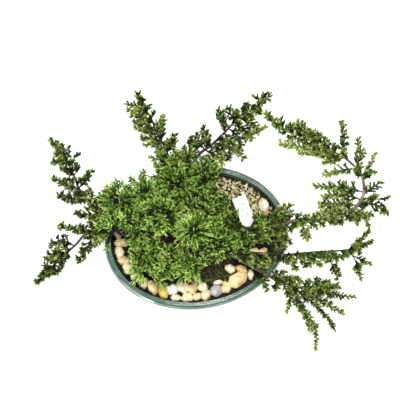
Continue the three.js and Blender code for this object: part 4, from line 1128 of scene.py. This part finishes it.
def grow_branch(name, seed):
    """A branch's stem, the forks of its table, short plumes in between and shoots along its crest."""
    plan = BRANCHES[name]
    growth = Growth(seed, plan["tone"], BRANCH_AGE_AND_SHADE)
    rng = growth.rng
    main = stretch(smooth_route(plan["route"]), plan["bare"] + SEAT)
    total = lengths(main)[-1]
    growth.twig(main, plan["radius"], 0.7)
    growth.shoot(stretch(main, total - BRANCH_END), (0.3, 1))
    growth.plume(stretch(main, total - END_PLUME), plan.get("tip", END_REACH), (0.2, 1))
    for reach, bare, fork in plan["forks"]:
        growth.tone = plan["tone"] + rng.gauss(0, FORK_TONE)
        root, _ = at_distance(main, nearest_place(main, fork[0]))
        line = smooth_route([tuple(root), *fork[1:]])
        length = lengths(line)[-1]
        growth.twig(stretch(line, 0, length * 0.85), FORK_RADIUS, 0.5)
        leafy = stretch(line, length * max(bare, FORK_BARE))
        growth.shoot(leafy, (0.1, 1))
        growth.plume(leafy, reach + PLUME_FULLNESS, (0.05, 1))
    growth.tone = plan["tone"]
    distance, side = 3.0, plan.get("side", 1)
    while distance < total - BRANCH_END:
        kept = [share for start, end, share in plan["barked"] if start < distance < end]
        near = max(0, 1 - distance / LONG_PLUMES_END)
        if not kept or rng.random() < kept[0]:
            place, along = at_distance(main, distance)
            direction = beside(along, side, rng.uniform(*SHORT_PLUME_SPREAD), rng.uniform(-0.3, 0.9))
            length = rng.uniform(9, 14) + 9 * near
            line = np.array(bow(place, direction, length, 0.14, steps=6))
            growth.shoot(stretch(line, 1.5), (0, 0.85), 0.95)
            growth.plume(line, 6 + 2.5 * near, (0, 0.9), 0.95)
        distance += SHORT_PLUME_STEP * rng.uniform(0.75, 1.25) * (1 - 0.35 * near)
        side = plan.get("side", -side)
    distance = 2.0
    while distance < total - 4:
        if not any(start < distance < end for start, end, _ in plan["barked"]):
            place, along = at_distance(main, distance)
            away = beside(along, rng.choice((-1, 1)), rng.uniform(*CREST_SPREAD), rng.uniform(0.8, 3))
            growth.shoot(bow(place, away, rng.uniform(5, 8), 0.1), (0, rng.uniform(0.6, 1)))
        distance += CREST_STEP * rng.uniform(0.7, 1.3)
    return growth


def grow_pad(route, heart, tone, seed):
    """A pad: sprigs low in a dome made dark as painted shade, bright ones on top as painted light, more on
    its twig, also darkened as painted shade, and on offshoots over gaps.
    """
    growth = Growth(seed, tone)
    rng = growth.rng
    line = smooth_route(route)
    total = lengths(line)[-1]
    growth.twig(stretch(line, total - PAD_STALK), PAD_RADIUS, 1.1)
    centre = Vector(route[-1])
    # Top sprigs are brighter, as painted light, and low sprigs darker, as painted shade.
    if seed in LONG_SHOOT_PADS:
        growth.dome(centre, heart, FAN_SPRIGS, 0.55, tone + 0.12, growth.fan, ROSETTE_OPEN)
        growth.dome(centre - UP * 5, heart, LOW_SPRIGS, 1.0, tone - 0.35, growth.sprig, ROSETTE_OPEN)
    else:
        growth.dome(centre, heart, TOP_SPRIGS, 1.0, tone + 0.14, growth.mixed_sprig)
        growth.dome(centre, heart, LOW_SPRIGS, 0.75, tone - 0.5, growth.sprig)
    if seed in HANGING_PADS:
        growth.fingers(centre)
    for offshoot in OFFSHOOTS.get(seed, ()):
        place = Vector(offshoot)
        root = centre + (place - centre) * 0.15 - UP * 3
        growth.twig([root, (root + place) / 2 + UP, place - UP * 2], 0.9, 0.6)
        growth.dome(place, OFFSHOOT_HEART, OFFSHOOT_SPRIGS, 1.0, tone, growth.sprig)
    distance = total * LEAFLESS_TWIG
    while distance < total - 3:
        place, along = at_distance(line, distance)
        away = (round_axis(along, distance * GOLDEN) + along * 0.3 + UP * 0.3).normalized()
        # Sprigs along the twig are darker: painted shade.
        growth.sprig(place, place + away * 3, tone - 0.45)
        distance += TWIG_SPRIG_STEP * rng.uniform(0.7, 1.3)
    return growth


def oval_point(inset, angle, height, share=1.0):
    """A place on the pot's oval, inset from its rim's edge, at an angle in radians."""
    across, deep = (RIM_HALF_WIDTH - inset) * share, (RIM_HALF_DEPTH - inset) * share
    return (across * math.cos(angle), deep * math.sin(angle), height)


def oval(inset, height, share=1.0, count=RING_POINTS):
    return [oval_point(inset, i * math.tau / count, height, share) for i in range(count)]


def loft(rings):
    """Points and faces of a closed body through rings of equal length."""
    size = len(rings[0])
    points = [point for ring in rings for point in ring]
    faces = []
    for i in range(len(rings) - 1):
        for j in range(size):
            k = (j + 1) % size
            faces.append((i * size + j, i * size + k, (i + 1) * size + k, (i + 1) * size + j))
    for ring, last in ((0, False), (len(rings) - 1, True)):
        middle = len(points)
        points.append(tuple(np.mean(np.array(rings[ring]), axis=0)))
        for j in range(size):
            corners = (ring * size + j, ring * size + (j + 1) % size, middle)
            faces.append(corners if last else corners[::-1])
    return points, faces


def lip_section():
    """The lip: rolled over at its outer edge, then nearly flat with a few turned grooves."""
    roll = []
    for degrees in range(-50, 61, 10):
        a = math.radians(degrees)
        roll.append((LIP_ROLL - LIP_ROLL * math.cos(a), POT_HEIGHT - LIP_ROLL + LIP_ROLL * math.sin(a)))
    steps = LIP_GROOVES * GROOVE_POINTS
    flat = []
    for step in range(1, steps + 1):
        share = step / steps
        groove = 0.5 - 0.5 * math.cos(share * LIP_GROOVES * math.tau)
        flat.append((LIP_FROM + (LIP_TO - LIP_FROM) * share, LIP_HEIGHT + LIP_CROWN - GROOVE_DEPTH * groove))
    return roll, flat


def smooth_section(places):
    """A section's places on a smooth curve, a few points between each two."""
    flat = smooth_route([(inset, 0, height) for inset, height in places], step=SECTION_STEP)
    return [tuple(row) for row in flat[:, (0, 2)]]


def pot_foot(degrees):
    """One low foot under the pot, wider where it meets the base."""
    rings = []
    for height, spread, grow in FOOT_RINGS:
        shares = [i / (FOOT_POINTS - 1) for i in range(FOOT_POINTS)]
        arc = [math.radians(degrees - spread + 2 * spread * share) for share in shares]
        outer = [oval_point(FOOT_INSET - grow, angle, height) for angle in arc]
        inner = [oval_point(FOOT_INSET + FOOT_WIDTH + grow, angle, height) for angle in reversed(arc)]
        rings.append(outer + inner)
    return loft(rings)


def cut_or_join(thing, body, operation):
    """Joins a closed body, as points and faces, to a piece or cuts it away."""
    tool = new_object("tool", mesh_of("tool", *body))
    modifier = thing.modifiers.new(operation, "BOOLEAN")
    modifier.operation = operation
    modifier.object = tool
    modifier.solver = "EXACT"
    result = plain_mesh(thing)
    thing.modifiers.clear()
    thing.data = result
    bpy.data.objects.remove(tool)


def inset_at(place):
    """How far a place on the pot lies inside the oval of its rim's edge, in millimetres."""
    x, y = abs(place.x - POT_X) / MM, abs(place.y - POT_Y) / MM
    low, high = -2.0, RIM_HALF_DEPTH - 0.5
    for _ in range(24):
        half = (low + high) / 2
        outside = (x / (RIM_HALF_WIDTH - half)) ** 2 + (y / (RIM_HALF_DEPTH - half)) ** 2 > 1
        low, high = (low, half) if outside else (half, high)
    return low


def glaze_depth(inset, height, grooves):
    """How dark the glaze is at a place: pooled in the lip's grooves, and painted shade in a ring at the foot
    of the roll, in a band under the lip, at the lip's outer edge and on the outer wall.
    """
    on_lip = LIP_FROM < inset < LIP_TO and height > LIP_HEIGHT - 1
    pooled = (LIP_HEIGHT + LIP_CROWN - np.interp(inset, *grooves)) / GROOVE_DEPTH if on_lip else 0
    # Painted shade in a band under the lip.
    painted_shade_under_lip = max(0, 1 - abs(height - UNDER_LIP_SHADE_HEIGHT) / 3.5) if 1.7 < inset < 6.5 and height < 57 else 0
    # Painted shade on the lip's outermost edge and on the outer wall below it.
    outer_painted_shade = min(1, max(0, 0.9 - inset) / 0.5) if height > 54 else 0.8 * (inset < 30)
    # Painted shade in a ring at the foot of the roll.
    ring = max(0, 1 - abs(inset - SHADE_RING_INSET) / 0.8) if height > LIP_HEIGHT - 2 else 0
    return max(pooled * 0.6, painted_shade_under_lip, outer_painted_shade, ring * 0.9)


def is_bare(inset, face):
    """True for a face of the pot that has no glaze: the inner wall, the floor and the base."""
    height = face.center.z / MM
    outwards = Vector((face.center.x - POT_X, face.center.y - POT_Y, 0))
    wall = inset > BARE_FROM and height > FLOOR_TOP - 0.5 and face.normal.dot(outwards) < 0
    floor = FLOOR_TOP - 0.5 < height < FLOOR_TOP + 1 and inset > FLOOR_INSET
    return wall or floor or height < BASE_TOP and inset > FLOOR_INSET


def make_pot():
    """The pot from one section: base, wall, grooved lip, bare inside and floor, with feet and drains."""
    roll, flat = lip_section()
    section = smooth_section(OUTSIDE)[:-1] + roll + flat + smooth_section(INSIDE)
    body = loft([oval(inset, height) for inset, height in section])
    pot = new_object("glazed_pot", mesh_of("glazed_pot", *body))
    for degrees in FOOT_ANGLES:
        cut_or_join(pot, pot_foot(degrees), "UNION")
    turn = [i * math.tau / DRAIN_POINTS for i in range(DRAIN_POINTS)]
    for x in (-DRAIN_X, DRAIN_X):
        ring = [(x + DRAIN_RADIUS * math.cos(a), DRAIN_RADIUS * math.sin(a)) for a in turn]
        cut_or_join(pot, loft([[(*place, height) for place in ring] for height in DRAIN_CUT]), "DIFFERENCE")
    mesh = pot.data
    insets = [inset_at(vertex.co) for vertex in mesh.vertices]
    grooves = list(zip(*flat))
    hold(mesh, glaze_depth=[
        glaze_depth(inset, vertex.co.z / MM, grooves) for vertex, inset in zip(mesh.vertices, insets)
    ])
    mesh.materials.clear()
    mesh.materials.append(glaze())
    # Unglazed stoneware inside the pot, near black and fine-grained.
    clay = [(0.35, "#1b1612"), (0.7, "#3a3128")]
    mesh.materials.append(grained("near_black_unglazed_stoneware", 0.82, 2.2, 6, clay, 0.5, 0.3))
    for face in mesh.polygons:
        inset = sum(insets[i] for i in face.vertices) / len(face.vertices)
        face.material_index = int(is_bare(inset, face))
        face.use_smooth = True
    mesh.set_sharp_from_angle(angle=math.radians(SHARP_EDGE))
    keep(pot, "glaze", "pot")


def in_pot(x, y):
    """A place as shares of the half width and the half depth of the pot's inside."""
    return x / (RIM_HALF_WIDTH - INNER_INSET), y / (RIM_HALF_DEPTH - INNER_INSET)


def share_of_pot(x, y):
    return math.hypot(*in_pot(x, y))


def ground_height(x, y):
    """The soil's level at a place, mounded round the trunk and a little uneven."""
    share = share_of_pot(x, y)
    mound = MOUND_HEIGHT * max(0, 1 - (share / MOUND_REACH) ** 2)
    uneven = noise.noise(Vector((x, y, 3)) / 7) * 0.9 + noise.noise(Vector((x, y, 9)) / 2.5) * 0.5
    return SOIL_LEVEL + mound + uneven * min(1, (1 - share) * 12)


def soil_patch(name, inside, step, lift):
    """A piece of the soil's surface, for bits to be scattered on: the cells of a grid that lie inside."""
    points, faces, seen = [], [], {}
    columns, rows = int(RIM_HALF_WIDTH / step), int(RIM_HALF_DEPTH / step)
    for i in range(-columns, columns + 1):
        for j in range(-rows, rows + 1):
            if not inside((i + 0.5) * step, (j + 0.5) * step):
                continue
            corners = ((i, j), (i + 1, j), (i + 1, j + 1), (i, j + 1))
            for key in corners:
                if key not in seen:
                    seen[key] = len(points)
                    x, y = key[0] * step, key[1] * step
                    points.append((x, y, ground_height(x, y) + lift))
            faces.append([seen[key] for key in corners])
    return mesh_of(name, points, faces)


def on_open_soil(x, y):
    return share_of_pot(x, y) < 0.97 and not on_gravel(x, y)


def on_gravel(x, y):
    angle = math.degrees(math.atan2(*reversed(in_pot(x, y))))
    ragged = 2.5 * noise.noise(Vector((x, y, 0)) / 9)
    in_arc = GRAVEL_ARC[0] + ragged < angle < GRAVEL_ARC[1] + ragged
    return in_arc and GRAVEL_BAND[0] + ragged / 90 < share_of_pot(x, y) < GRAVEL_BAND[1]


def on_moss(x, y):
    ragged = 0.35 * noise.noise(Vector((x, y, 5)) / 8)
    return math.hypot((x - MOSS_CENTRE[0]) / MOSS_SIZE[0], (y - MOSS_CENTRE[1]) / MOSS_SIZE[1]) < 1 + ragged


def make_ground():
    """Soil, the crumbs on it, a patch of moss and the bed of gravel in two layers."""
    rings = [oval(inset + SOIL_INSET, height + SEAT, count=SOIL_POINTS) for inset, height in INSIDE[:2:-1]]
    for share in [1.0, 0.985, *np.linspace(0.96, 0.04, 34)]:
        ring = oval(INNER_INSET + SOIL_INSET, SOIL_LEVEL, float(share), SOIL_POINTS)
        rings.append([(x, y, ground_height(x, y)) for x, y, _ in ring])
    soil = new_object("potting_soil", mesh_of("potting_soil", *loft(rings)))
    # Damp peat and composted bark: almost black, matt and crumbly.
    peat = [(0.35, "#0d0a07"), (0.75, "#33271b"), (0.55, "#1b150f")]
    soil.data.materials.append(grained("damp_peat_potting_mix", 0.95, 2.4, 8, peat, 0.9, 1.2))
    soil.data.shade_smooth()
    keep(soil, "soil", "soil")

    crumbs = kinds_of("crumb", 5, crumb, rough=0.9, wide=0.75, high=0.6), mixed_bits(
        "bark_and_peat_crumbs", 0.9,
        [(0.0, "#0e0b08"), (1.0, "#5b4631"), (0.45, "#1d1610"), (0.8, "#35281b")], 0.8,
    )
    moss = kinds_of("tuft", 4, tuft, blades=6, height=1.9), mixed_bits(
        "sheet_moss", 0.9, [(0.0, "#131206"), (1.0, "#9a9c56"), (0.5, "#383a18"), (0.8, "#65682f")], 1.0,
    )
    chips = kinds_of("chip", 6, crumb, rough=0.75, wide=0.8, high=0.62), mixed_bits(
        "dry_river_gravel", 0.8,
        [(0.0, "#28260f"), (1.0, "#fbf3d6"), (0.25, "#5f5731"), (0.5, "#8f8655"), (0.75, "#c8be88")], 0.7,
    )
    # A layer has its name, slot and node, its ground with the step of its grid and its lift, its bits, how
    # many to a square metre, the least and the greatest size, how upright they are and their seed.
    layers = (
        ("soil_crumbs", "soil", "soil", (on_open_soil, 3, 0.0), crumbs, 7e4, 1, 3.6, 0.0, 4),
        ("moss_patch", "soil", "soil", (on_moss, 2, 0.2), moss, 7.5e5, 0.8, 1.35, 0.88, 8),
        ("gravel_lower", "gravel", "gravel_bed", (on_gravel, 2.5, 0.6), chips, 2e5, 2.2, 4.4, 0.0, 21),
        ("gravel_upper", "gravel", "gravel_bed", (on_gravel, 2.5, 2.0), chips, 1.6e5, 1.8, 3.8, 0.0, 22),
    )
    tree = loose_bit_tree()
    for name, slot, node, ground, (kinds, finish), density, least, most, upright, seed in layers:
        bed = grown(name, soil_patch(name + "_ground", *ground), tree, {
            "Bits": kinds, "Last kind": len(kinds.objects) - 1, "Density": density, "Smallest": least,
            "Largest": most, "Upright": upright, "Seed": seed, "Finish": finish,
        })
        keep(bed, slot, node)


def make_pebbles():
    """Each pebble is its coarse solid worn round, then filled out until it touches its neighbours."""
    tree, stone = pebble_tree(), river_stone()
    nodes = [f"pebble_{number:02d}" for number in range(1, len(PEBBLE_COLOURS) + 1)]
    boxes = {node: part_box(node) for node in nodes}
    spots = {node: ((low + high) / 2, (high - low) / 2) for node, (low, high) in boxes.items()}
    for (node, (low, high)), code in zip(boxes.items(), PEBBLE_COLOURS):
        shape = bmesh.new()
        shape.from_mesh(frame["nodes"][node].data)
        bmesh.ops.remove_doubles(shape, verts=shape.verts, dist=0.01 * MM)
        coarse = bpy.data.meshes.new(node + "_coarse")
        shape.to_mesh(coarse)
        shape.free()
        coarse.materials.clear()
        pebble = grown("river_" + node, coarse, tree, {
            "Rounds": 2, "Keenness": 0.9, "Hollow": 3.0 * MM, "Span": 5 * MM, "Stone": stone,
        })
        pebble.data.set_sharp_from_angle(angle=math.radians(PEBBLE_EDGE))
        spot = spots[node]
        beside_others = [room_beside(*spot, *other) for key, other in spots.items() if key != node]
        growth = min(PEBBLE_GROWTH, room_at_wall(*spot), *beside_others)
        base = Vector((spot[0].x, spot[0].y, low.z))
        fit_to_box(pebble.data, base + (low - base) * growth, base + (high - base) * growth)
        tints = pebble.data.attributes.new("stone_colour", "FLOAT_COLOR", "POINT")
        tints.data.foreach_set("color", colour(code) * len(pebble.data.vertices))
        keep(pebble, "pebble", node)


def room_beside(middle, half, other_middle, other_half):
    """How many times its size a pebble may have before it presses on another that grows as much."""
    gap = other_middle - middle
    return PEBBLE_TOUCH / sum(1 / math.hypot(gap.x / size.x, gap.y / size.y) for size in (half, other_half))


def room_at_wall(middle, half):
    """How many times its size a pebble may have before it touches the pot's wall."""
    x, y = middle.x - POT_X, middle.y - POT_Y
    share = share_of_pot(x / MM, y / MM)
    at_wall = Vector((x, y, 0)) / share
    gap = at_wall.length * (1 - share) - PEBBLE_WALL_GAP * MM
    away = at_wall.normalized()
    return gap * math.hypot(away.x / half.x, away.y / half.y)


def fit_to_box(mesh, low, high):
    places = np.array([vertex.co for vertex in mesh.vertices])
    least, most = places.min(axis=0), places.max(axis=0)
    places = np.array(low) + (places - least) / (most - least) * (np.array(high) - np.array(low))
    mesh.vertices.foreach_set("co", places.ravel())
    mesh.update()


def make_wood(name, node, growth, stems, values):
    keep(grown(name, lines_mesh(node + "_twigs", growth.twigs, ["girth"]), stems, values), "bark", node)


def make_trunk(stems, bark):
    """Trunk, root flare, bare limbs and the twigs that carry the pads."""
    growth = Growth(1)
    line = smooth_route([place[:3] for place in TRUNK], step=2)
    *_, heights, girths = zip(*TRUNK)
    girth = [MM * float(np.interp(place[2], heights, girths)) for place in line]
    growth.twigs.append({"points": line, "girth": girth})
    foot = Vector(TRUNK[1][:3])
    for root in range(ROOTS):
        out, _ = spokes(root * math.tau / ROOTS + growth.rng.uniform(-0.3, 0.3))
        reach = growth.rng.uniform(15, 22)
        route = [foot + UP * 10 + out * 3, foot + UP * 3.6 + out * 9, foot - UP * 1 + out * reach]
        growth.twig(smooth_route(route), 3.4, 1.4)
    for plan in BRANCHES.values():
        limb = stretch(smooth_route(plan["route"]), 0, plan["bare"] + SEAT)
        growth.twig(limb, plan["radius"] * 1.25, plan["radius"])
    for route, _, _ in PADS:
        line = smooth_route(route)
        growth.twig(stretch(line, 0, lengths(line)[-1] - PAD_STALK), PAD_RADIUS * 1.3, PAD_RADIUS)
    make_wood("trunk_and_limbs", "trunk", growth, stems, {
        "Step": 1.8 * MM, "Sides": 14, "Relief": 0.42, "Grain": 4 * MM, "Bark": bark,
    })


def make_foliage(node, slot, growth, trees, bark, leaf):
    """A node's wood and its leafy shoots, as two pieces."""
    stems, shoots = trees
    make_wood(node + "_wood", node, growth, stems, {
        "Step": 2.2 * MM, "Sides": 7, "Relief": 0.35, "Grain": 3 * MM, "Bark": bark,
    })
    lines = lines_mesh(node + "_shoots", growth.shoots, ["age_and_shade", "tone", "vigour"])
    keep(grown(node + "_needles", lines, shoots, {**leaf, "Seed": 3}), slot, node)


def make_plant():
    trees = woody_stem_tree(), needle_tree()
    bark = juniper_bark(
        "fibrous_juniper_bark", 1,
        [(0.36, "#130f0b"), (0.66, "#6f6357"), (0.45, "#241d17"), (0.56, "#3d332a")],
    )
    pale_bark = juniper_bark(
        "weathered_juniper_bark", 70,
        [(0.34, "#2a221b"), (0.66, "#b0a18b"), (0.45, "#54473b"), (0.56, "#827361")],
    )
    # Darker bark for the crown's twigs, darkest towards their roots: painted shade inside the crown.
    twig_bark = juniper_bark(
        "shaded_juniper_twig_bark", 60,
        [(0.36, "#0b0906"), (0.66, "#5d5245"), (0.45, "#1a1510"), (0.56, "#30271f")],
    )
    # The near-black first stops are painted shade deep in the foliage, and the near-white last stops a
    # painted highlight on the tips.
    arm_finish = juniper_needles(
        "juniper_needles_of_the_branches",
        [(0.0, "#030502"), (1.0, "#e9f0a6"), (0.32, "#0d1404"), (0.5, "#374917"), (0.7, "#92a849")],
    )
    crown_finish = juniper_needles(
        "juniper_needles_of_the_crown",
        [(0.0, "#020501"), (1.0, "#eef8a4"), (0.3, "#0a1804"), (0.48, "#3a5f17"), (0.67, "#a4cb51")],
    )
    make_trunk(trees[0], bark)
    arm_whorls = kinds_of("arm_whorl", WHORL_KINDS, whorl, **ARM_NEEDLE)
    crown_whorls = kinds_of("crown_whorl", WHORL_KINDS, whorl, **CROWN_NEEDLE)
    arm_leaf = {"Whorls": arm_whorls, **ARM_SHOOT, "Needles": arm_finish}
    crown_leaf = {"Whorls": crown_whorls, **CROWN_SHOOT, "Needles": crown_finish}
    for seed, name in enumerate(BRANCHES, start=FIRST_BRANCH_SEED):
        own_bark = pale_bark if name in PALE_BRANCHES else bark
        make_foliage(name, "arm_foliage", grow_branch(name, seed), trees, own_bark, arm_leaf)
    for number, pad in enumerate(PADS, start=1):
        growth = grow_pad(*pad, seed=number)
        make_foliage(f"crown_pad_{number:02d}", "crown_foliage", growth, trees, twig_bark, crown_leaf)


def dress_kept_nodes():
    """The tag and the drain screens keep their solids and get their finishes."""
    # Black moulded polypropylene mesh, faintly grained.
    screen = grained("black_polypropylene_mesh", 0.6, 0.8, 2, [(0.3, "#191919"), (0.7, "#2c2c2b")])
    finishes = {"plant_tag": tag_plastic(), "drain_screen_left": screen, "drain_screen_right": screen}
    for node, finish in finishes.items():
        mesh = frame["nodes"][node].data
        mesh.materials.clear()
        mesh.materials.append(finish)


def make_stage():
    """A pale opal acrylic sheet, faintly lit from below, and soft lights in a white room."""
    corners = [(x * FLOOR_REACH, y * FLOOR_REACH, 0) for x, y in ((-1, -1), (1, -1), (1, 1), (-1, 1))]
    floor = new_object("floor", mesh_of("floor", corners, [(0, 1, 2, 3)]))
    sheet, _ = new_material(
        "opal_acrylic_sheet", Roughness=0.9, Base_Color=colour("#f4f4f2"), Specular_IOR_Level=0.2,
        Emission_Color=colour("#ffffff"), Emission_Strength=0.5,
    )
    floor.data.materials.append(sheet)
    world = bpy.data.worlds.new("soft_white_room")
    world.use_nodes = True
    background = world.node_tree.nodes["Background"].inputs
    background["Color"].default_value = colour("#f7fbff")
    background["Strength"].default_value = 0.34
    bpy.context.scene.world = world
    for name, (place, size, power) in SOFTBOXES.items():
        light = bpy.data.lights.new(name, "AREA")
        light.shape = "DISK"
        light.size = size * MM
        light.energy = power
        thing = new_object(name, light)
        thing.location = placed(place)
        thing.rotation_euler = (thing.location - placed(SOFTBOX_AIM)).to_track_quat("Z", "Y").to_euler()
    bpy.context.scene.view_settings.view_transform = "Standard"


def make_camera():
    data = bpy.data.cameras.new("camera")
    data.sensor_width = SENSOR_WIDTH
    data.lens = SENSOR_WIDTH * FOCAL_PIXELS / PHOTO_PIXELS
    camera = new_object("camera", data)
    back = camera_back()
    right = UP.cross(back).normalized()
    pose = Matrix((right, back.cross(right), back)).transposed().to_4x4()
    pose.translation = placed(CAMERA_AIM) + back * CAMERA_DISTANCE * MM
    camera.matrix_world = pose
    bpy.context.scene.camera = camera


make_camera()
make_stage()
make_pot()
make_ground()
make_pebbles()
make_plant()
dress_kept_nodes()
